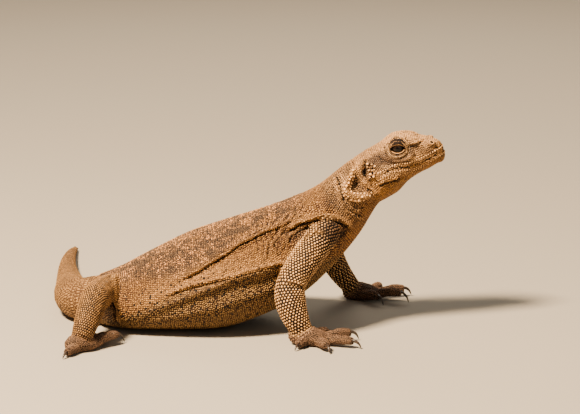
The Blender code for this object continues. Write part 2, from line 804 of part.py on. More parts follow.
def digit_rows(foot, digit, side):
    """A digit from inside the palm to the root of its claw."""
    ahead = inward_turn(foot.turn, side)
    inward = Vector((0, -side, 0)) - ahead * Vector((0, -side, 0)).dot(ahead)
    inward.normalize()
    heel = Vector((foot.heel_x, foot.heel_y, 0))
    way = inward_turn(foot.turn + digit.turn, side)
    root = (heel + ahead * foot.length * digit.root_along
            + inward * foot.half_width * digit.root_inward)
    lift = digit.lift + foot.rise
    radius = DIGIT_RADIUS
    profile = (
        (0.0, radius + foot.rise * 0.6, 0.98), (0.22, radius + lift * 0.5, 1.05),
        (0.42, radius + lift * 0.8, 0.92), (0.62, radius + lift, 1.0),
        (0.82, radius + lift, 0.88), (1.0, radius * 0.9 + lift, 0.72),
    )
    rows = []
    for share, height, size in profile:
        place = root + way * (digit.length * share)
        rows.append(Bone(place.x, place.y, height - 0.15, radius * size, radius * size))
    return rows


def claw_rows(end):
    """A horn claw that starts at the gap off a digit's end and hooks down to the floor."""
    level = end.ahead
    root = end.middle + level * GAP
    rows = []
    for share, height, size in CLAW_PROFILE:
        place = root + level * (CLAW_LENGTH * share)
        rows.append(Bone(place.x, place.y, max(0.4, root.z * height), CLAW_RADIUS * size * 0.8,
                         CLAW_RADIUS * size))
    return rows


def build_digit(name, claw_name, foot, digit, side, materials):
    """One finger or toe, and its claw."""
    rows = digit_rows(foot, digit, side)
    frames = frames_along(rows, spaced(0, len(rows) - 1, DIGIT_RINGS))
    end = frames[-1]
    level = Vector((end.ahead.x, end.ahead.y, 0)).normalized()
    upright = Vector((0, 0, 1))
    frames[-1] = end._replace(ahead=level)
    horny = claw_rows(frames[-1])
    claw = frames_along(horny, spaced(0, len(horny) - 1, CLAW_RINGS))
    claw = [f._replace(first=f.ahead.cross(level.cross(upright)).normalized()) for f in claw]
    claw_rings = [oval_ring(frame, CLAW_SIDES) for frame in claw]
    point = claw[-1].middle + claw[-1].ahead * 0.15
    loft(claw_name, claw_rings, materials["claw"], end_pole=point)
    return loft(name, [oval_ring(frame, DIGIT_SIDES) for frame in frames], materials["foot"])


def foot_space(foot, side, material):
    """The palm and digits grown by the gap, to be cut from the length of limb above them."""
    pieces = [palm_shape("palm space", foot, side, material, GAP)]
    for digit in foot.digits:
        rows = digit_rows(foot, digit, side)
        frames = frames_along(rows, spaced(0, len(rows) - 1, DIGIT_RINGS))
        rings = [oval_ring(frame, DIGIT_SIDES, GAP * 1.2) for frame in frames]
        pieces.append(loft("digit space", rings, material))
    return pieces


def build_foot(name, limb, foot, side, materials):
    pieces = []
    for k, digit in enumerate(foot.digits):
        claw_name = f"claw_{limb}_{DIGIT_NAMES[k]}"
        pieces.append(build_digit(f"digit {limb} {k}", claw_name, foot, digit, side, materials))
    palm = palm_shape(name, foot, side, materials["foot"])
    combine(palm, pieces, "UNION")
    combine(palm, [floor_block(materials["foot"])], "DIFFERENCE")


def build_limb(limb, ridges, materials):
    rows = LIMBS[limb]
    side = SIDES[limb.split("_")[1]]
    foot = FEET[limb]
    end = limb.split("_")[0]
    upper_name, lower_name, joint = UPPER_AND_LOWER[end]
    suffix = limb.split("_")[1]
    skin = materials["limb"]
    frames = tube_frames(rows, 0, joint, LIMB_RINGS_PER_BONE, 0, GAP / 2)
    rings = [oval_ring(frame, LIMB_SIDES) for frame in frames]
    upper = loft(f"{upper_name}_{suffix}", rings, skin)
    cutters = [torso_shape("torso space", skin, GAP * 1.5)]
    if end == "front":
        cutters.append(neck_shape("neck space", skin, ridges, GAP))
    else:
        cutters.append(tail_root_shape("tail space", skin, GAP))
    for cutter in cutters:
        combine(upper, [cutter], "DIFFERENCE")
    frames = tube_frames(rows, joint, len(rows) - 1, LIMB_RINGS_PER_BONE, GAP / 2, 0)
    rings = [oval_ring(frame, LIMB_SIDES) for frame in frames]
    lower = loft(f"{lower_name}_{suffix}", rings, skin)
    combine(lower, foot_space(foot, side, skin), "DIFFERENCE")
    foot_name = ("hand_" if end == "front" else "foot_") + suffix
    build_foot(foot_name, limb, foot, side, materials)


def build_chuckwalla():
    materials = {
        "torso": make_material("back and flank skin", SKIN_TAN, 0.75),
        "neck": make_material("neck skin", SKIN_HEAD, 0.75),
        "head": make_material("head skin", SKIN_HEAD, 0.7),
        "jaw": make_material("jaw skin", SKIN_HEAD, 0.7),
        "tail": make_material("tail skin", SKIN_TAIL, 0.8),
        "limb": make_material("leg skin", SKIN_LIMB, 0.7),
        "foot": make_material("foot skin", SKIN_FOOT, 0.75),
        "eye": make_material("wet eye", EYE_DARK, 0.08),
        "claw": make_material("claw horn", CLAW_HORN, 0.4),
    }
    ridges = ridge_lines()
    build_trunk(materials, ridges)
    build_head(materials, ridges)
    build_tail(materials)
    for limb in LIMBS:
        build_limb(limb, ridges, materials)
    for item in bpy.data.objects:
        item.data.shade_smooth()
        item.data.set_sharp_from_angle(angle=math.radians(50))


clear_scene()
build_chuckwalla()
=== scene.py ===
"""A chuckwalla at life size: one skin over the solids, with its scales, eyes, lids and claws."""

import math
from functools import partial
from itertools import product

import bmesh
import bpy
import numpy as np
from bpy.props import FloatProperty, FloatVectorProperty, PointerProperty
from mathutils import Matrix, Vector
from mathutils.bvhtree import BVHTree
from mathutils.kdtree import KDTree


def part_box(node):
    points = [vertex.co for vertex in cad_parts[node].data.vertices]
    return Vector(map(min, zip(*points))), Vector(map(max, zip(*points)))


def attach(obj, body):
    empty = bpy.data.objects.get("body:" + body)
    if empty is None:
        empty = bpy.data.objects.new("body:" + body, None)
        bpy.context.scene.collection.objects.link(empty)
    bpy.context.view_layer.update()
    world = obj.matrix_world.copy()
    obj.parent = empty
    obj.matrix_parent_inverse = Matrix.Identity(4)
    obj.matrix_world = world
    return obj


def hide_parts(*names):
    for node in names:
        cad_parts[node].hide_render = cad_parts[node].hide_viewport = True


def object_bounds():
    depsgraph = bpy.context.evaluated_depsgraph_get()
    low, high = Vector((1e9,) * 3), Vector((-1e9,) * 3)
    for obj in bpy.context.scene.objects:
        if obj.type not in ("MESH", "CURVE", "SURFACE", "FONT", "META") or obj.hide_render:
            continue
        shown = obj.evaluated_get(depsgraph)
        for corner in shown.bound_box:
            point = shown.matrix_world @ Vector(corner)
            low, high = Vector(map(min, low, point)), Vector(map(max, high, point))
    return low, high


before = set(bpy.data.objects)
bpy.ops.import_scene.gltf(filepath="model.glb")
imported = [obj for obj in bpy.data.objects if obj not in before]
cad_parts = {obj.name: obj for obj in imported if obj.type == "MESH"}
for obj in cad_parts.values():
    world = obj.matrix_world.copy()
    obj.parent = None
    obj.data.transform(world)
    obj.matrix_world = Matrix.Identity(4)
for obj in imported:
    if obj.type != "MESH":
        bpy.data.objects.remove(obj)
CAD_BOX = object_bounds()

bl_info = {
    "name": "Chuckwalla",
    "version": (1, 0, 0),
    "blender": (4, 5, 0),
    "location": "View3D > Sidebar > Chuckwalla",
    "description": "Skin, scales, eyes and claws of a life-size chuckwalla",
    "category": "Object",
}

MM = 0.001
SIDES = {"right": -1, "left": 1}

# Nodes of flesh, which one skin stands for
FLESH = sorted(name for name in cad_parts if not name.startswith(("eye", "claw")))
REGIONS = {
    "head": ("head",),
    "jaw": ("jaw",),
    "neck": ("neck",),
    "tail": tuple(f"tail_{part}" for part in range(1, 6)),
    "foreleg": ("upper_arm_left", "upper_arm_right", "forearm_left", "forearm_right"),
    "hind_leg": ("thigh_left", "thigh_right", "shank_left", "shank_right"),
    "foot": ("hand_left", "hand_right", "foot_left", "foot_right"),
}

# Sections of the trunk from tail root to snout: x and z of the back, x and z underneath, in mm
TRUNK_SECTIONS = (
    (-40, 21, -40, 0), (-34, 22.8, -34, -0.2), (-22.6, 26.6, -21.8, -0.8), (-3.5, 36.6, -2, -1.1),
    (21.8, 47.2, 26, -0.2), (34.2, 51.3, 41, 4.4), (45.6, 55.2, 56.4, 11.2), (55.4, 59.1, 68, 19.6),
    (64.2, 62.8, 78.4, 30.2), (70.9, 67, 87.6, 41), (77.1, 72.1, 94.2, 51.7), (83.8, 77.4, 98, 57.6),
    (90.7, 82.2, 102.3, 60.3), (97.8, 86.4, 107.4, 63.5), (104.8, 91.2, 111.8, 68.4),
    (111.5, 92.2, 117, 72), (117.6, 90.8, 121.8, 74.3), (122.8, 88.8, 125.6, 76.6),
    (126.6, 86.2, 127.8, 79.6),
)
# Where the torso ends and where the head begins along those sections
TORSO_END = 8.6
HEAD_START = 11.4

# Lines through the middle of the tail and the legs: x, y, z in mm
TAIL_LINE = (
    (-30, -2, 11), (-34, 0, 10.9), (-39.4, 1.8, 10.3), (-43.8, 7.2, 9.6), (-46.8, 15.5, 8.8),
    (-48.6, 27.5, 8), (-50.6, 45, 6.6), (-53.2, 68, 5.2), (-55.4, 92, 4.1), (-56.6, 115, 3.1),
    (-56.4, 136, 2.2), (-55.4, 151, 1.2),
)
LEG_LINES = {
    "foreleg_right": (
        (75, -11, 50), (69.6, -21, 44.4), (63, -29.4, 36.2), (56.8, -36, 27.6), (56.3, -39.6, 20.4),
        (58.3, -42, 13.6), (60.8, -43.2, 8.4), (63, -43.4, 5),
    ),
    "foreleg_left": (
        (78, 11, 49), (76.2, 21, 42.6), (75, 30, 34.6), (75.2, 37.4, 26.4), (77.6, 41.2, 19.4),
        (81.6, 43.2, 12.4), (85.8, 44.4, 6.8), (88, 44.6, 4.4),
    ),
    "hind_leg_right": (
        (-25, -7, 16.5), (-29.8, -19, 18.8), (-32.6, -30.5, 20.2), (-34.2, -41.2, 20),
        (-35.8, -48.4, 15.8), (-37.8, -53.4, 10.4), (-39.4, -56, 6.2),
    ),
    "hind_leg_left": (
        (-18, 8, 13.5), (-10.5, 23, 14.2), (-4.6, 36, 15), (-4.2, 46.4, 14.6), (-8.8, 53.4, 12),
        (-14.2, 57.6, 8.6), (-18.8, 60, 5.6),
    ),
}
LEG_REACH = 14.0
FEET = {
    "hand_right": (60, -43.4, 5),
    "hand_left": (86, 44.6, 4.6),
    "foot_right": (-41, -57.4, 5),
    "foot_left": (-20, 60.6, 5),
}

# Eye, lids and nostril of the right side, in mm
EYE_OPENING = (3.2, 2.1)
LID_TILT = math.radians(4)
# Grooves and a ridge round the eye: half length, half height, width and depth in mm, and how dark their
# painted shade is
LID_GROOVES = ((3.75, 2.65, 0.28, 0.28, 0.55), (4.6, 3.5, 0.42, -0.42, 0.0), (5.55, 4.45, 0.5, 0.6, 0.4))
# Rings of small scales over the lids: half length, half height and spacing in mm, and how pale
LID_ROWS = (
    (3.78, 2.66, 0.46, 0.0),
    (4.2, 3.08, 0.5, 0.2),
    (4.64, 3.54, 0.58, 0.65),
    (5.12, 4.04, 0.6, 0.3),
    (5.66, 4.58, 0.66, 0.15),
)
NOSTRIL = (122.2, -5.4, 87.5)
NOSTRIL_FACING = (0.1, -1.0, 0.22)
NOSTRIL_RIM = (0.95, 0.36)

# Folds: points along each in mm, height of the crest, depth of the groove, width, and the crest's side
FOLDS = {
    "upper flank fold": (
        ((52.9, -20.9, 51.1), (48.7, -21.7, 49.6), (45.5, -22.3, 48.7), (39.7, -24, 46.1),
         (33.3, -26.5, 43.4), (26.9, -28.9, 39.3), (20.5, -31.1, 35.9), (16.2, -32.2, 33.4),
         (12.1, -32.9, 31), (6, -33.6, 28)),
        0.85, 1.0, 0.62, (0, 0, 1),
    ),
    "upper flank fold, front": (
        ((61.5, -17, 55.6), (57.1, -19.9, 53.6), (52.9, -20.9, 51.1), (48.7, -21.7, 49.6)),
        0.5, 0.55, 0.65, (0, 0, 1),
    ),
    "lower flank fold": (
        ((57, -28.6, 36), (53.4, -30.1, 34.9), (46, -32.8, 33.7), (36.6, -35.5, 31.9), (27, -36.7, 29.6),
         (17.3, -36.5, 27.2), (7.7, -35.9, 24.4), (-1.6, -34.7, 20.3)),
        1.15, 0.65, 0.78, (0, 0, 1),
    ),
    "shoulder fold": (
        ((54.3, -21.6, 48.4), (57.1, -20.7, 49.8), (61.1, -20.2, 52), (64.9, -19.6, 53),
         (70.5, -19.4, 54.4), (76, -19.2, 54.1), (80.2, -17.6, 52), (83.2, -16, 49.8),
         (84.9, -14.6, 47.2)),
        1.6, 1.5, 1.05, (0.2, 0, 1),
    ),
    "first back wrinkle": (
        ((50.6, -21.1, 51.2), (55.3, -15, 55.3), (59, -9.8, 59), (62.3, -4.1, 61.7)),
        0.3, 0.45, 0.6, (-1, 0, 0.6),
    ),
    "second back wrinkle": (
        ((55, -20.6, 51.4), (57.6, -16.8, 54.8), (61.8, -12.1, 59), (65.1, -7.3, 62.3)),
        0.3, 0.45, 0.6, (-1, 0, 0.6),
    ),
    "third back wrinkle": (
        ((58.5, -20.4, 52.2), (60.4, -19.3, 54.4), (64.6, -14.4, 58.6), (68.3, -10, 62.9)),
        0.3, 0.4, 0.6, (-1, 0, 0.6),
    ),
    "upper shoulder crease": (
        ((68.5, -17.2, 57.4), (66.5, -12.4, 60), (69.8, -8.2, 63), (73.1, -3.4, 65.8)),
        0.4, 0.6, 0.8, (-1, 0, 0.3),
    ),
    "chest crease": (
        ((84, -15.8, 48.2), (80, -18.8, 44.6), (77.1, -22.2, 42.1), (74.3, -25, 39.1)),
        0.4, 1.0, 0.9, (1, 0, 0.5),
    ),
    "outer armpit fold": (
        ((55.6, -26.2, 42.6), (56.1, -24.4, 46), (58.3, -22.1, 48.1), (62.2, -20.8, 49.9),
         (67.2, -22.5, 51.4), (70.4, -24.3, 51.2)),
        0.7, 1.0, 0.8, (-1, 0, 0.5),
    ),
    "inner armpit fold": (
        ((58.4, -28.9, 40.8), (59.4, -28.2, 43), (62.2, -28, 45.9), (64.9, -27.2, 47.8),
         (68.2, -26.9, 49.1), (72.6, -26.3, 48.4)),
        0.6, 0.9, 0.75, (-0.6, 0, 1),
    ),
    "first armpit wrinkle": (
        ((51.6, -28.6, 39.5), (48.8, -27.1, 42.8), (49.7, -25, 45.2), (52, -22.1, 47.1),
         (53.4, -21.2, 49.3)),
        0.45, 0.7, 0.7, (-1, 0, 0.3),
    ),
    "second armpit wrinkle": (
        ((46, -31.2, 38), (45.6, -28.6, 41.6), (46.6, -25.2, 44.8), (49, -22.4, 47.6)),
        0.35, 0.5, 0.65, (-1, 0, 0.3),
    ),
    "neck ridge": (
        ((88.4, -7.4, 78.6), (85.8, -11, 75), (84.4, -13, 72.3), (83, -14.2, 69.5), (82.4, -14.6, 66.9),
         (83.2, -15.7, 64.9), (85.3, -15.5, 63.8), (87.9, -15.3, 63.4), (90.7, -15, 63.5), (93, -14, 64),
         (94.9, -13.8, 65.1)),
        1.3, 0.0, 1.6, (0, 0, 1),
    ),
    "fold behind the ear": (
        ((89.3, -8.3, 78.3), (88.3, -10.8, 75.4), (88.9, -11.4, 72), (90.7, -12.7, 70.1),
         (93, -13.4, 69.1)),
        0.8, 0.0, 1.1, (0, 0, 1),
    ),
    "ear crescent": (
        ((91.4, -7.6, 80), (90.4, -10.2, 77.2), (90.5, -11.8, 75), (91.4, -12.9, 72.7), (93, -14, 71.5)),
        0.2, 2.2, 0.85, (-1, 0, -0.4),
    ),
    "slit behind the neck ridge": (
        ((76.8, -5.5, 71.3), (78.3, -9.5, 70.2), (78.9, -12.2, 66.5), (80.4, -14.4, 63),
         (81, -15.4, 60.7)),
        0.6, 1.6, 0.85, (-1, 0, 0),
    ),
    "low neck crease": (
        ((81.2, -15.7, 60.2), (83, -15.8, 57.6), (85.6, -15.4, 55.8), (88.4, -13.6, 53.9),
         (91, -11.5, 53)),
        0.35, 0.8, 0.65, (0, 0, -1),
    ),
    "throat crease": (
        ((91.8, -14, 67.8), (93.4, -13.5, 66.9), (95.3, -13.7, 65.5), (97.5, -11.7, 63.2)),
        0.5, 1.1, 0.6, (1, 0, 0.6),
    ),
    "crease under the jaw": (
        ((97.2, -13.7, 68.2), (100.4, -13.7, 69.8), (105.1, -12.9, 70.9), (108.4, -11.2, 71.7),
         (110.8, -9.5, 72.3)),
        0.4, 0.9, 0.7, (0, 0, 1),
    ),
    "mouth": (
        ((129.3, 0, 84.1), (127.8, -2.9, 83.2), (124.4, -6.4, 81.7), (120.6, -7.9, 80.1),
         (116.8, -9.3, 78.5), (113.1, -10.6, 77.3), (109.3, -12, 76.9), (106, -13.1, 76.8),
         (103.7, -13.5, 76.2), (101.3, -14.1, 75.1), (98.6, -13.7, 73.9), (96.7, -13.7, 72.9)),
        0.0, 0.9, 0.4, (0, 0, 1),
    ),
    "ridge under the eye": (
        ((100.5, -11, 83), (103.2, -12.5, 81), (106.5, -12.8, 79.9), (109.7, -11.8, 80.2),
         (112.6, -10.8, 81.8), (114.5, -9.1, 84.1)),
        0.8, 0.0, 0.6, (0, 0, 1),
    ),
    "crease under the temple": (
        ((97, -10.5, 82.2), (99.5, -11.3, 81), (102.3, -12.5, 79.9), (105.5, -13, 78.7)),
        0.2, 0.6, 0.5, (0, 0, 1),
    ),
    "temple crease": (
        ((92.6, -3.2, 82.4), (91.6, -6.2, 80.4), (91.8, -8.6, 79)),
        0.3, 0.5, 0.6, (-1, 0, 0.3),
    ),
    "groin": (
        ((-27, -13, 27.2), (-27, -19, 25), (-26.4, -25.4, 21), (-25.6, -27.2, 15.7), (-25, -27.6, 10.8),
         (-24.4, -25.5, 5)),
        0.9, 1.9, 1.25, (1, 0, 0),
    ),
    "elbow crease": (
        ((54.4, -42.9, 28.9), (57.6, -43.3, 28.5), (60.8, -42, 27.3), (63.1, -38.6, 25.8)),
        0.5, 0.9, 0.8, (0, 0, 1),
    ),
    "second neck crease": (
        ((84.6, -15.4, 59.4), (87.9, -14.4, 57.3), (91.2, -12.7, 57.9)),
        0.3, 0.6, 0.6, (0, 0, -1),
    ),
    "groove before the eye": (
        ((111.2, -9.5, 86.6), (114, -8.7, 87.1), (116.9, -6.7, 88), (119.3, -4.6, 88.9)),
        0.35, 0.7, 0.55, (0, 0, 1),
    ),
}

# Hollows and swellings: middle and reach in mm, depth, and how dark their painted shade is
HOLLOWS = {
    "ear": ((91.4, -11.2, 74.6), (1.7, 3.4, 3.2), 1.8, 1.0),
    "nostril": (NOSTRIL, (0.8, 1.1, 0.8), 1.5, 1.0),
    "nostril rim": ((122.0, -5.4, 87.7), (2.4, 2.4, 2.0), -1.5, 0.0),
    "neck hollow": ((87, -12.3, 69.8), (2.8, 4, 3.6), 1.2, 0.1),
    "behind the neck ridge": ((77.2, -12.5, 65.5), (2.2, 4, 5.5), 1.1, 0.3),
    "behind the slit": ((74.6, -14.8, 61), (2.2, 4, 3.2), 0.6, 0.3),
    "before the eye": ((114.5, -8.6, 86.2), (3.2, 2.5, 1.5), 0.5, 0.4),
    "bridge of the snout": ((117.6, 0, 91), (2.6, 6, 2.5), 0.7, 0.0),
    "cheek": ((99.4, -12.4, 78.3), (6, 4, 4.2), 0.3, 0.2),
    "under the shoulder fold": ((78, -20, 51.6), (4.5, 3.5, 1.8), 0.3, 0.5),
    "armpit": ((59, -23.5, 46.4), (3.2, 3.5, 2.6), 0.7, 0.4),
}

# Rows of large pale scales: points in mm, spacing, half width, half length, height, shape, how pale
SCALE_ROWS = {
    "upper lip": (
        ((128.6, 0, 85.8), (126.6, -4.6, 84.9), (122.5, -7.1, 83), (118.7, -8.8, 81.2),
         (114.9, -9.9, 79.8), (111.2, -11.4, 78.7), (108.3, -12.6, 78.7), (105.5, -12.9, 78.4),
         (103.7, -13.3, 77.7), (101.3, -13.7, 76.5), (99, -13.5, 75.4), (97.2, -13.5, 74.5)),
        1.25, 0.62, 0.6, 0.55, "bead", 0.45,
    ),
    "lower lip": (
        ((128.4, 0, 82.4), (126.8, -5, 81.6), (123.5, -6.4, 79.5), (119.7, -7.2, 77.5), (116, -8.5, 76.3),
         (112.2, -10.4, 75.5), (108.4, -12.4, 75.4), (105.1, -13.3, 75), (102.3, -14.1, 73.7),
         (100, -14, 72.4), (97.2, -13.9, 71)),
        1.25, 0.6, 0.58, 0.5, "bead", 0.4,
    ),
    "lower jaw": (
        ((122, -6.2, 77.2), (118, -7.4, 75.8), (114, -9, 74.6), (110, -11, 73.9), (106, -12.9, 73.4),
         (102.3, -14, 72.2), (99, -14, 70.4), (96.6, -13.9, 69)),
        1.25, 0.55, 0.55, 0.45, "bead", 0.3,
    ),
    "neck ridge": (
        ((85.8, -11, 75), (84.4, -13, 72.3), (83, -14.2, 69.5), (82.3, -14.6, 66.9), (83, -15.8, 64.9),
         (85.3, -15.5, 63.6), (87.9, -15.3, 63.3), (90.7, -15, 63.5), (93, -14, 63.9), (94.4, -13.8, 65)),
        1.6, 0.78, 0.8, 1.05, "cone", 0.6,
    ),
    "neck ridge, inner": (
        ((86.2, -12, 72.7), (85.1, -12.8, 70.6), (84.2, -13.6, 68.3), (84.5, -14.4, 66.3),
         (86, -14.9, 65.2), (88.3, -15, 65), (91.1, -14.5, 65.1)),
        1.6, 0.72, 0.74, 0.9, "cone", 0.5,
    ),
    "neck ridge, outer": (
        ((83.4, -11.2, 72.4), (81.9, -12.9, 69.6), (81.2, -14.2, 66.8), (81.8, -15.1, 63.9),
         (84.6, -15.3, 62.3), (87.9, -15, 61.9), (90.7, -14.3, 62)),
        1.6, 0.7, 0.72, 0.85, "cone", 0.5,
    ),
    "ear scales": (
        ((92.9, -10.6, 78.2), (92.5, -10.6, 76.2), (92.8, -11.2, 74.4), (93.8, -12.4, 72.7)),
        1.5, 0.85, 0.95, 1.35, "cone", 0.6,
    ),
    "ear scales, middle": (
        ((94.4, -11.8, 78.1), (94, -12.8, 76.4), (94.2, -12.8, 74.6), (95.2, -13.8, 73)),
        1.6, 0.8, 0.9, 1.1, "cone", 0.5,
    ),
    "ear scales, front": (
        ((96, -12.2, 77.6), (95.7, -13.3, 76), (95.9, -13.8, 74.4)),
        1.5, 0.7, 0.8, 0.8, "cone", 0.5,
    ),
}

# How a scale rises: reach and rise of its shoulder, and how far back its tip lies
SCALE_SHAPES = {
    "granule": (0.66, 0.70, 0.2),
    "bead": (0.62, 0.70, 0.3),
    "keeled": (0.66, 0.60, 0.45),
    "plate": (0.78, 0.78, 0.05),
    "cone": (0.72, 0.42, 0.55),
}
SCALE_SIDES = 6
SCALE_SINK = 0.14
BAKE_PATCH = 0.003
# Size of the cells in which standing scales are looked up, in mm
CELL = 1.0
# Scales of the legs: shape, height in mm, and in spacings their half width, half length and row step
LEG_SCALES = {
    "foreleg": ("bead", 0.55, (0.42, 0.51), 0.74),
    "hind_leg": ("keeled", 0.3, (0.45, 0.55), 0.86),
}
# How far from the heel the scales of a foot lie, in mm
FOOT_REACH = 48

MASKS = (
    "head", "jaw", "neck", "tail", "foreleg", "hind_leg", "foot",
    "back", "belly", "spotted", "crest", "crease", "pale", "dusky", "golden",
)
# Where the hide is darker, paler or yellower, and where shade is painted: middle and reach in mm, the mask
# and how far
# Painted shade: dusky patches in the hollows of eye, ear and neck, on the upper arm, in the armpit and groin
STAINS = {
    "temple": ((98.5, -11.5, 80.2), (10, 6, 6), "dusky", 0.95),
    "under the temple": ((101, -13, 79), (8, 5, 3.4), "dusky", 0.95),
    "before the eye": ((114.6, -8.6, 85.8), (4.6, 4, 2.3), "dusky", 0.7),
    "under the eye": ((107, -12, 81), (8, 4, 3.2), "dusky", 0.85),
    "hollow before the eye": ((113, -10, 84.4), (3.4, 4, 3.8), "dusky", 0.75),
    "ear": ((92, -10.6, 74.6), (3.2, 4, 4.6), "dusky", 0.7),
    "neck hollow": ((86.8, -12, 69.6), (3.2, 4, 4), "dusky", 0.45),
    "behind the neck ridge": ((77.3, -13, 65), (3.4, 5, 6.5), "dusky", 0.6),
    "behind the slit": ((74.4, -15, 60.8), (3, 5, 4), "dusky", 0.55),
    "side of the neck": ((80.5, -8, 73), (6, 7, 5), "dusky", 0.55),
    "top of the upper arm": ((77, -22, 48), (12, 9, 8), "dusky", 0.9),
    "armpit": ((59, -22.5, 47.6), (6, 5, 3.4), "dusky", 0.5),
    "side of the snout": ((119, -7, 83.6), (9, 4, 3.2), "dusky", 0.6),
    "groin": ((-28, -24, 14), (3.6, 9, 12), "dusky", 0.6),
    "nape": ((92, -3, 84), (9, 9, 6), "dusky", 0.35),
    "upper lip, rear": ((105, -13.3, 77.8), (8, 3, 1.0), "pale", 0.25),
    "upper lip, front": ((117, -9, 80.6), (9, 3, 1.8), "pale", 0.3),
    "lower lip": ((104, -13, 74.4), (9, 4, 1.6), "pale", 0.35),
    "neck behind its ridge": ((78.5, -12, 71), (5, 7, 6), "pale", 0.3),
    "throat": ((101, -7, 65), (11, 10, 6), "golden", 0.95),
    "chest": ((84, -7, 44), (10, 13, 15), "golden", 0.95),
    "front of the neck": ((93, -7, 56), (7, 11, 9), "golden", 0.9),
    "chin": ((120, -3, 77.5), (12, 8, 4.5), "golden", 0.85),
    "jaw": ((108, -10, 73), (12, 6, 4), "golden", 0.5),
    "back of the cheek": ((99, -13, 77), (6, 4, 4), "dusky", 0.65),
    "tip of the snout": ((128, 0, 83), (4, 5, 4), "golden", 0.3),
}

# Rounds of blurring the regions, and of smoothing the whole skin, all but head and feet, and the folds
REGION_BLUR = 14
SMOOTHING = (8, 26, 2)

# In mm: how far the flesh is swollen to close its gaps, how near points are welded, the room left in the box
SWELL = 0.26
WELD = 0.002
BOX_MARGIN = 0.03
# Extra depth of skin on hands and feet, and how far claws are swollen and rooted in the toes
FOOT_PADDING = 0.4
CLAW_SWELL = 0.06
CLAW_ROOT = 1.2
CLAW_ROOT_SHARE = 0.3

# The cornea: how far it bulges, the width of the bulge as an angle, and how far the ball lies inside
CORNEA_BULGE = 0.28
CORNEA_WIDTH = 0.5
BALL_INSET = 0.12
BALL_STEPS = 28
BALL_SIDES = 48
LID_EDGE = 0.28
LID_STEPS = 72
# Middle of the shoulder, which the wrinkles ring: x and z in mm
SHOULDER = (78, 46)

# Markings of the hide, in metres: patches of the back, the net of flecks and its bend, spots and grain
PATCH = 14 * MM
LOOSE_PATCH = 7 * MM
FLECK = 2.2 * MM
BEND = 3 * MM
BEND_REACH = 1.8 * MM
SPOT = 2.0 * MM
GRAIN = 0.35 * MM

# Floor and camera in metres, its lens in mm, and the strength of the light from all round
FLOOR_REACH = 6
SKY_LIGHT = 0.26
CAMERA_LENS = 200
CAMERA_DISTANCE = 1.517
CAMERA_RAISED = math.radians(12)
CAMERA_AIM = (0.0562, 0.0, 0.0555)
LIGHT_AIM = (0.04, 0, 0.04)
# Lights: place, width and power, and colour
LIGHTS = {
    "key light": ((-0.42, -0.42, 0.95), 0.2, 74.0, "FFE2BC"),
    "fill light": ((0.75, -0.7, 0.45), 0.9, 1.6, "FFF0DC"),
    "rim light": ((0.1, 0.9, 0.7), 0.6, 5.0, "FFEFD8"),
}

# Settings of nodes that mix colours, that work on numbers from 0 to 1, and that map a range softly
BLEND = {"data_type": "RGBA"}
TINT = {"data_type": "RGBA", "blend_type": "MULTIPLY"}
TIMES = {"operation": "MULTIPLY", "use_clamp": True}
TIMES_PLUS = {"operation": "MULTIPLY_ADD", "use_clamp": True}
MINUS = {"operation": "SUBTRACT", "use_clamp": True}
SOFT = {"interpolation_type": "SMOOTHSTEP"}

# Hides of the parts of the body: the material's name and its roughness
HIDES = {
    "body": ("reptile hide, back and flanks", 0.56),
    "head": ("reptile hide, head and neck", 0.52),
    "tail": ("reptile hide, tail", 0.56),
    "leg": ("reptile hide, legs", 0.38),
    "foot": ("reptile hide, feet", 0.54),
}
HIDE_REGIONS = (
    "back", "belly", "neck", "head", "jaw", "tail", "foreleg", "hind_leg", "foot", "dusky", "golden",
)

skin_store = {}


def linear(hex_text):
    """Turn an sRGB hex colour into linear red, green, blue and a full alpha."""
    channels = [int(hex_text[place : place + 2], 16) / 255 for place in (0, 2, 4)]
    return tuple(
        value / 12.92 if value <= 0.04045 else ((value + 0.055) / 1.055) ** 2.4 for value in channels
    ) + (1.0,)


def colour(name, description, hex_text):
    """A colour that a user may change."""
    return FloatVectorProperty(
        name=name,
        description=description,
        subtype="COLOR",
        size=4,
        min=0.0,
        max=1.0,
        default=linear(hex_text),
    )


def length(name, description, size_mm):
    """A length that a user may change, given in mm."""
    return FloatProperty(
        name=name, description=description, unit="LENGTH", default=size_mm * MM, min=0.0001, precision=5
    )


class ChuckwallaSizes(bpy.types.PropertyGroup):
    """Sizes of the skin and its scales."""

    skin_step: length("Skin step", "Distance between neighbouring points of the skin", 0.5)
    coat_depth: length("Coat depth", "How far the skin lies inside the solids, under its scales", 0.35)
    torso_scale: length("Torso scales", "Spacing of the granules on the back, flanks and belly", 1.0)
    neck_scale: length("Neck scales", "Spacing of the scales on the neck", 1.15)
    head_scale: length("Head scales", "Spacing of the scales on the head and jaws", 0.95)
    tail_scale: length("Tail scales", "Spacing of the keeled scales round the tail", 1.5)
    foreleg_scale: length("Foreleg scales", "Spacing of the pale beads round the forelegs", 1.55)
    hind_leg_scale: length("Hind leg scales", "Spacing of the scales on the hind legs", 1.1)
    foot_scale: length("Foot scales", "Spacing of the scales on hands, feet and toes", 0.74)


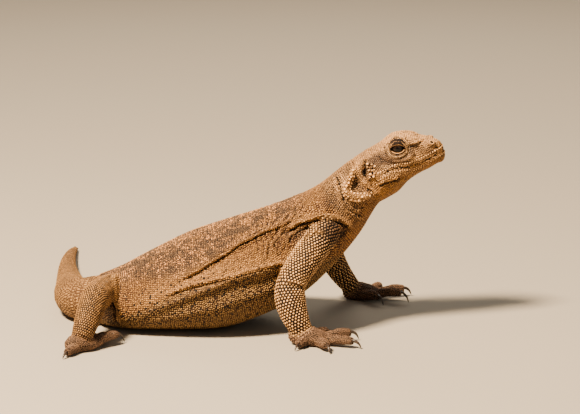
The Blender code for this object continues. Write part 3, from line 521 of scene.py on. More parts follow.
class ChuckwallaColours(bpy.types.PropertyGroup):
    """Colours of the hide, between the scales and on them."""

    flank_gap: colour("Flank, between scales", "Skin between the granules of the flank", "371C09")
    flank_scale: colour("Flank scales", "Pinkish tan of the flank", "7E5624")
    back_gap: colour("Back, between scales", "Skin between the granules of the back", "281910")
    back_scale: colour("Back scales", "Grey brown of the back", "402C20")
    # The belly colours are kept darker than its own tan, as painted shade on the underside
    belly_gap: colour("Belly, between scales", "Skin between the scales underneath", "321D0B")
    belly_scale: colour("Belly scales", "Golden tan below the lower fold", "785A31")
    head_gap: colour("Head, between scales", "Skin between the scales of the head", "21120A")
    head_scale: colour("Head scales", "Warm tan of the head", "A67C4E")
    jaw_gap: colour("Jaw, between scales", "Skin between the granules of the jaws", "1F0E04")
    jaw_scale: colour("Jaw scales", "Tan of the jaws", "825822")
    neck_gap: colour("Neck, between scales", "Skin between the scales of the neck", "1C0F07")
    neck_scale: colour("Neck scales", "Tan of the neck", "6C4E2E")
    tail_gap: colour("Tail, between scales", "Skin between the rings of the tail", "4A3018")
    tail_scale: colour("Tail scales", "Plain tan of the tail", "6C4C26")
    foreleg_gap: colour("Foreleg, between scales", "Dark brown skin between the beads", "100602")
    foreleg_scale: colour("Foreleg scales", "Pinkish brown of the beads below their tips", "AC7B4A")
    hind_leg_gap: colour("Hind leg, between scales", "Skin between the scales of the hind legs", "0F0703")
    hind_leg_scale: colour("Hind leg scales", "Brown of the hind legs", "7B5527")
    # The foot's gap colour is also the painted shade in creases, grooves, hollows and nostrils
    foot_gap: colour("Foot, between scales", "Skin between the scales of the feet", "0D0704")
    foot_scale: colour("Foot scales", "Purplish brown of the feet", "644837")
    # Dusky: the purplish brown of the temples, and painted shade in the hollows, armpits, groins and under
    # the shoulder folds
    dusky_gap: colour("Dusky, between scales", "Skin of the temples and shoulders", "0B0503")
    dusky_scale: colour("Dusky scales", "Purplish brown of the temples and shoulders", "372318")
    # The golden colours are partly the throat and chest's own golden brown and partly painted shade under the
    # head and body
    golden_gap: colour("Golden, between scales", "Skin of the throat and chest", "432407")
    golden_scale: colour("Golden scales", "Golden brown of the throat and chest", "81531C")
    pale: colour("Pale scales", "Cream of the spiny scales, lips and lid edges", "F0B87C")
    crest: colour("Fold crests", "Rubbed, lighter skin along the folds", "AE8048")
    # The crest colour is partly the fold crests' own lighter skin and partly painted highlight where the
    # crests catch the light
    spot: colour("Spots", "Near black of the small spots", "160E0A")
    fleck: colour("Back flecks", "Pale flecks over the back", "C4894E")
    # The glint colour is a painted highlight on the tip of each scale
    glint: colour("Tips of scales", "Worn, shining tip of each scale", "FFD08A")


# Materials


def add_node(tree, kind, inputs=(), output=None, **settings):
    """Add a node with its settings and links, and give back one of its outputs, or the node."""
    node = tree.nodes.new(f"ShaderNode{kind}")
    for name, value in settings.items():
        setattr(node, name, value)
    for socket, value in dict(inputs).items():
        if isinstance(value, bpy.types.NodeSocket):
            tree.links.new(value, node.inputs[socket])
        else:
            node.inputs[socket].default_value = value
    return node if output is None else node.outputs[output]


def painted(name, paint, *settings):
    """A material whose shader is fed by one of the functions below."""
    material = bpy.data.materials.new(name)
    material.use_nodes = True
    material.node_tree.nodes.clear()
    add = partial(add_node, material.node_tree)
    place = add("TexCoord", output="Object")
    shader = add("BsdfPrincipled", paint(add, place, *settings), "BSDF")
    add("OutputMaterial", {"Surface": shader})
    return material


def region_colour(add, colours, masks, layer):
    """Colour of the skin between its scales, or of the scales, by region of the body."""
    found = getattr(colours, f"flank_{layer}")
    for region in HIDE_REGIONS:
        found = add("Mix", {0: masks[region], 6: found, 7: getattr(colours, f"{region}_{layer}")}, 2, **BLEND)
    return found


def reptile_hide(add, place, colours, roughness):
    """Reptile hide: keratin scales over dry, folded skin, matt with a faint waxy gleam on each scale, with
    painted highlight on scale tips and fold crests and painted shade in creases and hollows.
    """
    masks = {mask: add("Attribute", output="Fac", attribute_name=mask) for mask in (*MASKS, "tip", "tone")}
    tip, dusky, crest = masks["tip"], masks["dusky"], masks["crest"]
    gap, scale = (region_colour(add, colours, masks, layer) for layer in ("gap", "scale"))
    # Along fold crests the skin between the scales is painted lighter too, partly as painted highlight
    half_crest = add("Math", {0: crest, 1: 0.5}, 0, **TIMES)
    gap = add("Mix", {0: half_crest, 6: gap, 7: colours.crest}, 2, **BLEND)

    # Patches where the back turns from tan to grey brown
    tan = add("TexNoise", {"Vector": place, "Scale": 1 / PATCH, "Detail": 2.0}, "Fac")
    tan = add("MapRange", {0: tan, 1: 0.52, 2: 0.68}, 0, **SOFT)
    tan = add("Math", {0: tan, 1: masks["back"]}, 0, **TIMES)
    scale = add("Mix", {0: tan, 6: scale, 7: colours.flank_scale}, 2, **BLEND)
    # Pale flecks parted by a darker net, which lie over the back in loose patches
    bent = add("TexNoise", {"Vector": place, "Scale": 1 / BEND, "Detail": 1.0}, "Color")
    bent = add("VectorMath", {0: bent, 1: (BEND_REACH,) * 3}, 0, operation="MULTIPLY")
    bent = add("VectorMath", {0: place, 1: bent}, 0, operation="ADD")
    net = add("TexVoronoi", {"Vector": bent, "Scale": 1 / FLECK}, "Distance", feature="DISTANCE_TO_EDGE")
    net = add("MapRange", {0: net, 1: 0.09, 2: 0.22}, 0, **SOFT)
    loose = add("TexNoise", {"Vector": place, "Scale": 1 / LOOSE_PATCH, "Detail": 2.0}, "Fac")
    loose = add("MapRange", {0: loose, 1: 0.37, 2: 0.53}, 0, **SOFT)
    fleck = add("Math", {0: net, 1: loose}, 0, **TIMES)
    fleck = add("Math", {0: fleck, 1: masks["back"]}, 0, **TIMES)
    scale = add("Mix", {0: fleck, 6: scale, 7: colours.fleck}, 2, **BLEND)
    fleck = add("Math", {0: fleck, 1: 0.6}, 0, **TIMES)
    gap = add("Mix", {0: fleck, 6: gap, 7: colours.flank_gap}, 2, **BLEND)
    # Spots a scale wide, which stand closest below the lower fold
    spot = add("TexVoronoi", {"Vector": place, "Scale": 1 / SPOT}, "Distance")
    spot = add("MapRange", {0: spot, 1: 0.32, 2: 0.27}, 0, **SOFT)
    spot = add("Math", {0: spot, 1: masks["spotted"]}, 0, **TIMES)

    # Crests of folds are painted lighter, partly their own skin and partly painted highlight, less where the
    # hide is dusky
    lit_crest = add("Math", {0: dusky, 1: -0.6, 2: crest}, 0, **TIMES_PLUS)
    scale = add("Mix", {0: lit_crest, 6: scale, 7: colours.crest}, 2, **BLEND)
    scale = add("Mix", {0: masks["pale"], 6: scale, 7: colours.pale}, 2, **BLEND)
    # Each scale is darkest at its foot, where dust and shade gather, and palest at its tip, where a highlight
    # is painted
    raised = add("MapRange", {0: tip, 1: 0.15, 2: 0.75}, 0, **SOFT)
    found = add("Mix", {0: raised, 6: gap, 7: scale}, 2, **BLEND)
    tip_highlight = add("MapRange", {0: tip, 1: 0.5, 2: 0.95}, 0, **SOFT)
    bright = add("Mix", {0: 1.0, 6: scale, 7: (1.7, 1.7, 1.7, 1)}, 2, **TINT)
    brightened = add("Math", {0: tip_highlight, 1: 0.7}, 0, **TIMES)
    found = add("Mix", {0: brightened, 6: found, 7: bright}, 2, **BLEND)
    # Painted highlight on each tip, strongest on the beads of the forelegs and the pale scales, weakest where
    # the hide is dusky
    highlight_share = add("Math", {0: masks["foreleg"], 1: dusky}, 0, **MINUS)
    highlight_share = add("Math", {0: highlight_share, 1: 0.82, 2: 0.12}, 0, **TIMES_PLUS)
    dull = add("Math", {0: dusky, 1: 0.07}, 0, **TIMES)
    highlight_share = add("Math", {0: highlight_share, 1: dull}, 0, **MINUS)
    highlight_share = add("Math", {0: masks["pale"], 1: 0.7, 2: highlight_share}, 0, **TIMES_PLUS)
    highlight_share = add("Math", {0: tip_highlight, 1: highlight_share}, 0, **TIMES)
    found = add("Mix", {0: highlight_share, 6: found, 7: colours.glint}, 2, **BLEND)
    found = add("Mix", {0: spot, 6: found, 7: colours.spot}, 2, **BLEND)
    # Neighbouring scales differ a little in tone
    shade = add("MapRange", {0: masks["tone"], 1: 0.0, 2: 1.0, 3: 0.62, 4: 1.25}, 0, **SOFT)
    shade = add("CombineColor", {0: shade, 1: shade, 2: shade}, 0)
    found = add("Mix", {0: 1.0, 6: found, 7: shade}, 2, **TINT)
    # Painted shade in creases, grooves, hollows and nostrils, in the foot's gap colour
    crease_shade = add("MapRange", {0: masks["crease"], 1: 0.0, 2: 0.9, 3: 0.0, 4: 0.94}, 0, **SOFT)
    found = add("Mix", {0: crease_shade, 6: found, 7: colours.foot_gap}, 2, **BLEND)

    grain = add("TexNoise", {"Vector": place, "Scale": 1 / GRAIN, "Detail": 3.0}, "Fac")
    return {
        "Base Color": found,
        "Roughness": add("MapRange", {0: tip, 1: 0.3, 2: 1.0, 3: 0.85, 4: roughness}, 0, **SOFT),
        "IOR": 1.5,
        "Specular IOR Level": 0.3,
        "Normal": add("Bump", {"Strength": 0.35, "Distance": 0.12 * MM, "Height": grain}, "Normal"),
    }


def hide_for(kind):
    """The hide material of one part of the body, made when first asked for."""
    name, roughness = HIDES[kind]
    found = bpy.data.materials.get(name)
    return found or painted(name, reptile_hide, bpy.context.scene.chuckwalla_colours, roughness)


def wet_eye(add, place, middle):
    """A wet eye: clear cornea over a dark brown iris and a round pupil, so it takes one sharp highlight."""
    offset = add("VectorMath", {0: place, 1: tuple(value * MM for value in middle)}, 0, operation="SUBTRACT")
    parts = add("SeparateXYZ", {0: offset})
    flat = add("CombineXYZ", {0: parts.outputs[0], 2: parts.outputs[2]}, 0)
    radius = add("VectorMath", {0: flat}, "Value", operation="LENGTH")
    # Fibres of the iris, a third of a millimetre apart
    fibre = add("TexNoise", {"Vector": offset, "Scale": 1 / (0.3 * MM), "Detail": 3.0}, "Fac")
    fibre = add("MapRange", {0: fibre, 1: 0.35, 2: 0.65}, 0, **SOFT)
    found = add("Mix", {0: fibre, 6: linear("0F0906"), 7: linear("20140D")}, 2, **BLEND)
    # Black within the pupil's edge, dark brown past the edge of the iris
    inner = add("MapRange", {0: radius, 1: 0.85 * MM, 2: 1.05 * MM}, 0, **SOFT)
    found = add("Mix", {0: inner, 6: linear("050404"), 7: found}, 2, **BLEND)
    outer = add("MapRange", {0: radius, 1: 1.75 * MM, 2: 2.15 * MM}, 0, **SOFT)
    found = add("Mix", {0: outer, 6: found, 7: linear("0C0705")}, 2, **BLEND)
    return {"Base Color": found, "Roughness": 0.1, "IOR": 1.38, "Specular IOR Level": 0.35}


def claw_horn(add, place):
    """Claw horn: solid keratin, near black, worn smooth and a little glossy, with paler streaks."""
    streak = add("TexNoise", {"Vector": place, "Scale": 1 / (0.5 * MM), "Detail": 3.0}, "Fac")
    share = add("MapRange", {0: streak, 1: 0.4, 2: 0.7}, 0, **SOFT)
    found = add("Mix", {0: share, 6: linear("1D1613"), 7: linear("4A382C")}, 2, **BLEND)
    bump = add("Bump", {"Strength": 0.25, "Distance": 0.05 * MM, "Height": streak}, "Normal")
    return {"Base Color": found, "Roughness": 0.34, "IOR": 1.55, "Normal": bump}


# Shapes in numbers


def unit(vectors):
    """The vectors at length one."""
    return vectors / np.maximum(np.linalg.norm(vectors, axis=-1, keepdims=True), 1e-12)


def read_between(rows, lower, share):
    """Rows of numbers on a smooth curve through the given rows, each a share past its lower row."""
    rows = np.array(rows, float)
    ends = np.vstack((2 * rows[0] - rows[1], rows, 2 * rows[-1] - rows[-2]))
    a, b, c, d = (ends[lower + step] for step in range(4))
    share = share[:, None]
    return 0.5 * (
        2 * b + (c - a) * share + (2 * a - 5 * b + 4 * c - d) * share**2 + (3 * b - a - 3 * c + d) * share**3
    )


def evenly(rows, line, step):
    """The rows read again at even steps along a line."""
    reach = np.concatenate(([0], np.cumsum(np.linalg.norm(np.diff(line, axis=0), axis=1))))
    stops = np.linspace(0, reach[-1], max(2, int(round(reach[-1] / step)) + 1))
    return np.column_stack([np.interp(stops, reach, column) for column in rows.T])


def smooth_course(points, step):
    """A smooth line through the points, as points a step apart."""
    parts, spans = 12, len(points) - 1
    share = np.tile(np.linspace(0, 1, parts, endpoint=False), spans)
    found = read_between(points, np.repeat(np.arange(spans), parts), share)
    found = np.vstack((found, np.array(points[-1:], float)))
    return evenly(found, found, step)


def corner_normals(points, quads):
    """Normals at the points of a mesh of four-sided faces."""
    faces = np.cross(points[quads[:, 2]] - points[quads[:, 0]], points[quads[:, 3]] - points[quads[:, 1]])
    total = np.zeros_like(points)
    for axis in range(3):
        for corner in range(4):
            total[:, axis] += np.bincount(quads[:, corner], faces[:, axis], len(points))
    return unit(total)


def neighbour_mean(values, edges):
    """Mean of each point's neighbours."""
    count = np.bincount(edges.ravel(), minlength=len(values))
    total = np.empty_like(values)
    for column in range(values.shape[1]):
        total[:, column] = np.bincount(edges[:, 0], values[edges[:, 1], column], len(values))
        total[:, column] += np.bincount(edges[:, 1], values[edges[:, 0], column], len(values))
    return total / np.maximum(count, 1)[:, None]


def measure_course(points, course, reach):
    """The points within reach of a course, how far off they are, and their offset and place along it."""
    low, high = course.min(0) - reach, course.max(0) + reach
    near = np.flatnonzero(np.all((points > low) & (points < high), axis=1))
    best = np.full(len(near), np.inf)
    offset = np.zeros((len(near), 3))
    along = np.zeros(len(near))
    start = 0.0
    for first, last in zip(course[:-1], course[1:]):
        run = last - first
        size = np.linalg.norm(run)
        share = np.clip((points[near] - first) @ run / size**2, 0, 1)
        gap = points[near] - first - share[:, None] * run
        distance = np.linalg.norm(gap, axis=1)
        closer = distance < best
        best = np.where(closer, distance, best)
        offset = np.where(closer[:, None], gap, offset)
        along = np.where(closer, start + share * size, along)
        start += size
    inside = best < reach
    return near[inside], best[inside], offset[inside], along[inside] / start


def bump_of(distance, width):
    """A smooth bump, one at the middle and nothing past about two widths."""
    return np.exp(-((distance / width) ** 2))


def smooth_step(value, low, high):
    """From 0 at low to 1 at high, with soft ends."""
    share = np.clip((value - low) / (high - low), 0, 1)
    return share * share * (3 - 2 * share)


def mirrored(point, side):
    """A point of the right side, on the asked side."""
    return np.array(point) * (1, -side, 1)


# Meshes


def kept_in_box(points):
    """The points, none outside the box of the solids or under the floor."""
    low, high = (np.array(corner) / MM for corner in CAD_BOX)
    return np.clip(points, low + BOX_MARGIN, high - BOX_MARGIN)


def mesh_from(name, points, loops, starts):
    """A smooth mesh from points in mm, the corners of its faces in one row, and where each face starts."""
    mesh = bpy.data.meshes.new(name)
    mesh.vertices.add(len(points))
    mesh.vertices.foreach_set("co", (points * MM).ravel())
    mesh.loops.add(len(loops))
    mesh.loops.foreach_set("vertex_index", loops)
    mesh.polygons.add(len(starts))
    mesh.polygons.foreach_set("loop_start", starts)
    mesh.update(calc_edges=True)
    mesh.shade_smooth()
    return mesh


def small_mesh(name, points, faces):
    """A smooth mesh from points in mm and faces, with all faces turned outward."""
    mesh = bpy.data.meshes.new(name)
    mesh.from_pydata([tuple(value * MM for value in point) for point in points], [], faces)
    shaped = bmesh.new()
    shaped.from_mesh(mesh)
    bmesh.ops.scale(shaped, vec=(1 / MM,) * 3, verts=shaped.verts)
    bmesh.ops.recalc_face_normals(shaped, faces=shaped.faces)
    bmesh.ops.scale(shaped, vec=(MM,) * 3, verts=shaped.verts)
    shaped.to_mesh(mesh)
    shaped.free()
    mesh.shade_smooth()
    return mesh


def modified(mesh, kind, **settings):
    """A mesh with one modifier applied, and its points in mm."""
    holder = bpy.data.objects.new("holder", mesh)
    bpy.context.scene.collection.objects.link(holder)
    change = holder.modifiers.new("change", kind)
    for name, value in settings.items():
        setattr(change, name, value)
    made = bpy.data.meshes.new_from_object(holder.evaluated_get(bpy.context.evaluated_depsgraph_get()))
    bpy.data.objects.remove(holder)
    points = np.empty(len(made.vertices) * 3)
    made.vertices.foreach_get("co", points)
    return made, points.reshape(-1, 3) / MM


def welded(name):
    """A node's solid with its seams welded."""
    solid = bmesh.new()
    solid.from_mesh(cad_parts[name].data)
    bmesh.ops.remove_doubles(solid, verts=solid.verts, dist=WELD * MM)
    solid.normal_update()
    return solid


def swollen(solid, swell, name):
    """A mesh of a solid whose points are pushed out along their normals."""
    solid.normal_update()
    places = [vert.co + vert.normal * swell for vert in solid.verts]
    for vert, place in zip(solid.verts, places):
        vert.co = place
    mesh = bpy.data.meshes.new(name)
    solid.to_mesh(mesh)
    solid.free()
    return mesh


def write_marks(mesh, marks):
    """Store the masks, tips and tones, a number for each point, where what isn't given is nought."""
    for name in (*MASKS, "tip", "tone"):
        values = np.broadcast_to(np.asarray(marks.get(name, 0.0), np.float32), len(mesh.vertices))
        mesh.attributes.new(name, "FLOAT", "POINT").data.foreach_set("value", np.ascontiguousarray(values))


def add_piece(name, mesh, material):
    """Put a mesh in the scene as a piece of the body."""
    piece = bpy.data.objects.new(name, mesh)
    bpy.context.scene.collection.objects.link(piece)
    mesh.materials.append(material)
    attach(piece, "root")
    return piece


def add_trim(name, points, faces, **marks):
    """Add a small fleshy piece of the head, such as the edge of a lid."""
    mesh = small_mesh(name, points, faces)
    write_marks(mesh, {"head": 1.0, **marks})
    add_piece(name, mesh, hide_for("head"))


# Skin


def swollen_flesh():
    """The flesh nodes in one mesh, each swollen over its gap to the next, and a tree that knows the nodes."""
    joined = bmesh.new()
    corners, faces, owners = [], [], []
    for name in FLESH:
        piece = welded(name)
        start = len(corners)
        corners += [tuple(vert.co / MM) for vert in piece.verts]
        faces += [[start + vert.index for vert in face.verts] for face in piece.faces]
        owners += [name] * len(piece.faces)
        copy = swollen(piece, SWELL * MM, "swollen")
        joined.from_mesh(copy)
        bpy.data.meshes.remove(copy)
    mesh = bpy.data.meshes.new("flesh")
    joined.to_mesh(mesh)
    joined.free()
    return mesh, BVHTree.FromPolygons(corners, faces), owners


def edges_of(quads):
    """Each edge of the faces once."""
    pairs = np.vstack([quads[:, (corner, (corner + 1) % 4)] for corner in range(4)])
    return np.unique(np.sort(pairs, axis=1), axis=0)


def largest_shell(points, quads):
    """Only the largest closed surface, so that nothing stays inside the body."""
    edges = edges_of(quads)
    group = np.arange(len(points))
    while True:
        lowest = group.copy()
        np.minimum.at(lowest, edges[:, 0], group[edges[:, 1]])
        np.minimum.at(lowest, edges[:, 1], group[edges[:, 0]])
        lowest = lowest[lowest]
        if np.array_equal(lowest, group):
            break
        group = lowest
    kept = group == np.bincount(group).argmax()
    place = np.cumsum(kept) - 1
    return points[kept], place[quads[kept[quads[:, 0]]]]


def smoothed(points, edges, rounds, share):
    """Smooth without shrinking, each point by its own share."""
    for _ in range(rounds):
        points = points + (0.55 * share)[:, None] * (neighbour_mean(points, edges) - points)
        points = points - (0.57 * share)[:, None] * (neighbour_mean(points, edges) - points)
    return points


def eye_ball(side):
    """Middle and radius of an eye, in mm."""
    low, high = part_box(f"eye_{side}")
    size = (high - low) / MM
    return np.array((low + high) / 2) / MM, max(size.x, size.z) / 2


def over_eye(points, side):
    """An eye's middle and radius, and each point's offset and its place along and across the opening."""
    middle, radius = eye_ball(side)
    offset = points - middle
    u = offset[:, 0] * math.cos(LID_TILT) + offset[:, 2] * math.sin(LID_TILT)
    w = offset[:, 2] * math.cos(LID_TILT) - offset[:, 0] * math.sin(LID_TILT)
    return middle, radius, offset, u, w


def region_masks(points, edges, tree, owners):
    """How far each point belongs to each region of the body."""
    owner_of = {name: region for region, names in REGIONS.items() for name in names}
    masks = {mask: np.zeros(len(points)) for mask in MASKS}
    for place, point in enumerate(points):
        region = owner_of.get(owners[tree.find_nearest(point)[2]])
        if region:
            masks[region][place] = 1.0
    values = np.column_stack([masks[region] for region in REGIONS])
    # The jaw's colour starts at the lips
    mouth = smooth_course(FOLDS["mouth"][0], 1.0)
    head, jaw = values[:, 0], values[:, 1]
    for side in SIDES.values():
        near, distance, _, _ = measure_course(points, mirrored(mouth, side), 6)
        jaw[near] = np.maximum(jaw[near], head[near] * smooth_step(-distance, -5.2, -3.4))
    for _ in range(REGION_BLUR):
        values = 0.5 * values + 0.5 * neighbour_mean(values, edges)
    for column, region in enumerate(REGIONS):
        masks[region] = values[:, column]
    return masks


def fold_skin(points, masks):
    """How far folds, wrinkles and the mouth move the skin, and where their crests get lighter paint, partly
    painted highlight, and their creases painted shade.
    """
    shift = np.zeros(len(points))
    for name, (places, height, depth, width, toward) in FOLDS.items():
        in_mouth = name == "mouth"
        darkest = 1.0 if in_mouth else min(0.9, depth / 1.1)
        for side in SIDES.values():
            course = mirrored(smooth_course(places, 1.0), side)
            near, distance, offset, along = measure_course(points, course, width * 4)
            signed = distance * np.sign(offset @ unit(np.array(toward, float)))
            to_end = 1 - along if in_mouth else np.minimum(along, 1 - along)
            ends = smooth_step(to_end, -0.01, 0.06 if in_mouth else 0.1)
            groove = bump_of(signed + 0.55 * width, width * 0.75) * ends
            crest = bump_of(signed - (0.95 * width if depth else 0.0), width) * ends
            calm = 1.0 if in_mouth else smooth_step(np.abs(points[near, 1]), 0.5, 5)
            shift[near] += (height * crest - depth * groove) * calm
            # The crease mask is painted shade in the groove, the crest mask the lighter crest, partly painted
            # highlight
            masks["crease"][near] = np.maximum(masks["crease"][near], groove * darkest)
            masks["crest"][near] = np.maximum(masks["crest"][near], crest * min(1, height / 0.9) * 0.75)
    return shift


def shoulder_wrinkles(points, masks):
    """Shallow wrinkles that ring the shoulder, from the neck down behind the foreleg, with painted shade in
    their troughs.
    """
    x, y, z = points.T
    radius = np.hypot(x - SHOULDER[0], z - SHOULDER[1])
    angle = np.degrees(np.arctan2(z - SHOULDER[1], SHOULDER[0] - x))
    wander = 1.1 * np.sin(x * 0.31 + z * 0.17) + 0.8 * np.sin(z * 0.43 - x * 0.12 + y * 0.2)
    ridges = np.sin(2 * math.pi * (radius + wander) / 3.0)
    share = smooth_step(radius, 17, 22) * smooth_step(-radius, -44, -33)
    share = share * smooth_step(angle, -22, -5) * smooth_step(-angle, -96, -62)
    share = share * (1 - np.clip(masks["foreleg"] * 3, 0, 1)) * smooth_step(np.abs(y), 5, 11)
    return 0.24 * ridges * share, share * smooth_step(-ridges, 0.3, 1.0) * 0.45


def dent(points, centre, size):
    """How deep each point lies in a soft round dent."""
    return np.exp(-(((points - centre) / size) ** 2).sum(1) * 1.6)


def press_hollows(points, masks):
    """How far the hollows of ears, nostrils and neck and the rims round them move the skin, and the painted
    shade in the hollows.
    """
    shift = np.zeros(len(points))
    for middle, reach, depth, dark in HOLLOWS.values():
        for side in SIDES.values():
            if side > 0 and middle[1] == 0:
                continue
            pressed = dent(points, mirrored(middle, side), np.array(reach))
            shift -= depth * pressed
            masks["crease"] = np.maximum(masks["crease"], (dark * pressed * 1.25).clip(0, dark))
    return shift


def open_eyes(points):
    """Draw the skin back to the edges of the lids, off the eyeballs."""
    for side, out in SIDES.items():
        middle, radius, offset, u, w = over_eye(points, side)
        share = np.hypot(u / (EYE_OPENING[0] + 0.15), w / (EYE_OPENING[1] + 0.15))
        close = np.linalg.norm(offset, axis=1) < radius + 3
        near = (out * offset[:, 1] > 0.3 * radius) & close & (share < 1)
        grow = 1 / np.maximum(share[near], 0.05)
        u, w = u[near] * grow, w[near] * grow
        points[near, 0] = middle[0] + u * math.cos(LID_TILT) - w * math.sin(LID_TILT)
        points[near, 2] = middle[2] + u * math.sin(LID_TILT) + w * math.cos(LID_TILT)
    return points


def ring_eyes(points, masks):
    """How far the grooves between the rings of the lids move the skin, and the painted shade in them."""
    shift = np.zeros(len(points))
    for side, out in SIDES.items():
        _, radius, offset, u, w = over_eye(points, side)
        near = (out * offset[:, 1] > 0.2 * radius) & (np.linalg.norm(offset, axis=1) < radius + 5)
        for half_length, half_height, width, depth, dark in LID_GROOVES:
            share = np.hypot(u / half_length, w / half_height)
            away = (share - 1) * np.hypot(u, w) / np.maximum(share, 0.1)
            groove = bump_of(away, width) * near
            shift -= depth * groove
            masks["crease"] = np.maximum(masks["crease"], dark * groove)
    return shift


def body_marks(points, masks):
    """Where the back, the belly, the spots and the stains lie, some stains being painted shade, and a band of
    painted highlight over the lower fold.
    """
    x, _, z = points.T
    torso = 1 - np.clip(sum(masks[region] for region in REGIONS), 0, 1)
    lower = np.array(FOLDS["lower flank fold"][0])[::-1]
    upper = np.array(FOLDS["upper flank fold"][0])[::-1]
    low_line = np.interp(x, [-30, -14, *lower[:, 0], 66, 80], [6, 13, *lower[:, 2], 33, 36])
    high_line = np.interp(x, [-36, -12, *upper[:, 0], 84], [17, 25, *upper[:, 2], 62])
    below = smooth_step(low_line - z, -0.6, 1.6)
    masks["belly"] = torso * below
    rear_of_shoulder = 0.25 + 0.75 * smooth_step(-x, -68, -54)
    masks["back"] = np.clip(torso + 0.8 * masks["neck"], 0, 1) * smooth_step(z - high_line, -1.5, 5)
    masks["back"] = masks["back"] * rear_of_shoulder
    masks["neck"] = masks["neck"] * (1 - 0.5 * masks["back"])
    masks["head"] = masks["head"] * (0.6 + 0.4 * smooth_step(x, 91, 104))
    around = np.exp(-(((z - low_line) / 7) ** 2))
    rear = smooth_step(-x, -40, 0) * smooth_step(high_line - z, -2, 3)
    spotted = np.clip(below + 0.6 * around + 0.5 * rear + 0.25, 0, 1)
    masks["spotted"] = torso * spotted * smooth_step(-x, -76, -60)
    # A band over the lower fold painted lighter, a painted highlight where the flank faces the light
    lit = np.exp(-(((z - low_line - 3.2) / 4.2) ** 2)) * smooth_step(x, -24, -6) * smooth_step(-x, -62, -44)
    masks["crest"] = np.maximum(masks["crest"], 0.5 * torso * lit)
    for middle, reach, mask, share in STAINS.values():
        for side in SIDES.values():
            patch = np.clip(1.6 * dent(points, mirrored(middle, side), np.array(reach)), 0, 1)
            masks[mask] = np.maximum(masks[mask], share * patch)


def build_skin():
    """Make the skin's mesh and keep what the scales need to know of it."""
    sizes = bpy.context.scene.chuckwalla_sizes
    mesh, tree, owners = swollen_flesh()
    even, points = modified(mesh, "REMESH", mode="VOXEL", voxel_size=sizes.skin_step)
    quads = np.empty(len(even.loops), np.int64)
    even.loops.foreach_get("vertex_index", quads)
    bpy.data.meshes.remove(even)
    points, quads = largest_shell(points, quads.reshape(-1, 4))
    edges = edges_of(quads)
    masks = region_masks(points, edges, tree, owners)
    fine = np.clip(masks["head"] + masks["jaw"] + masks["foot"], 0, 1)
    points = smoothed(points, edges, SMOOTHING[0], np.ones(len(points)))
    points = smoothed(points, edges, SMOOTHING[1], 1 - 0.92 * fine)
    normals = corner_normals(points, quads)
    shift = np.full(len(points), -SWELL - sizes.coat_depth / MM)
    body_marks(points, masks)
    shift += fold_skin(points, masks)
    wrinkles, dark = shoulder_wrinkles(points, masks)
    pressed = wrinkles + press_hollows(points, masks)
    shift += pressed + ring_eyes(points, masks) + FOOT_PADDING * masks["foot"]
    # The troughs of the shoulder wrinkles get painted shade
    masks["crease"] = np.maximum(masks["crease"], dark)
    points = points + normals * shift[:, None]
    points = smoothed(points, edges, SMOOTHING[2], np.ones(len(points)))
    points = kept_in_box(open_eyes(points))
    made = mesh_from("skin", points, quads.ravel(), np.arange(0, quads.size, 4))
    write_marks(made, {**masks, "tone": 0.5})
    skin_store.update(
        points=points,
        normals=corner_normals(points, quads),
        quads=quads,
        masks=masks,
        tree=BVHTree.FromPolygons(points.tolist(), quads.tolist()),
        taken={},
    )
    return made


# Scales


def is_free(point, gap):
    """Whether no scale stands within the gap of this point."""
    reach = int(math.ceil(gap / CELL))
    cell = [int(math.floor(value / CELL)) for value in point]
    taken = skin_store["taken"]
    for near in product(*(range(value - reach, value + reach + 1) for value in cell)):
        for x, y, z in taken.get(near, ()):
            if (x - point[0]) ** 2 + (y - point[1]) ** 2 + (z - point[2]) ** 2 < gap * gap:
                return False
    return True


def take(point):
    """Note that a scale stands here."""
    cell = tuple(int(math.floor(value / CELL)) for value in point)
    skin_store["taken"].setdefault(cell, []).append(tuple(point))


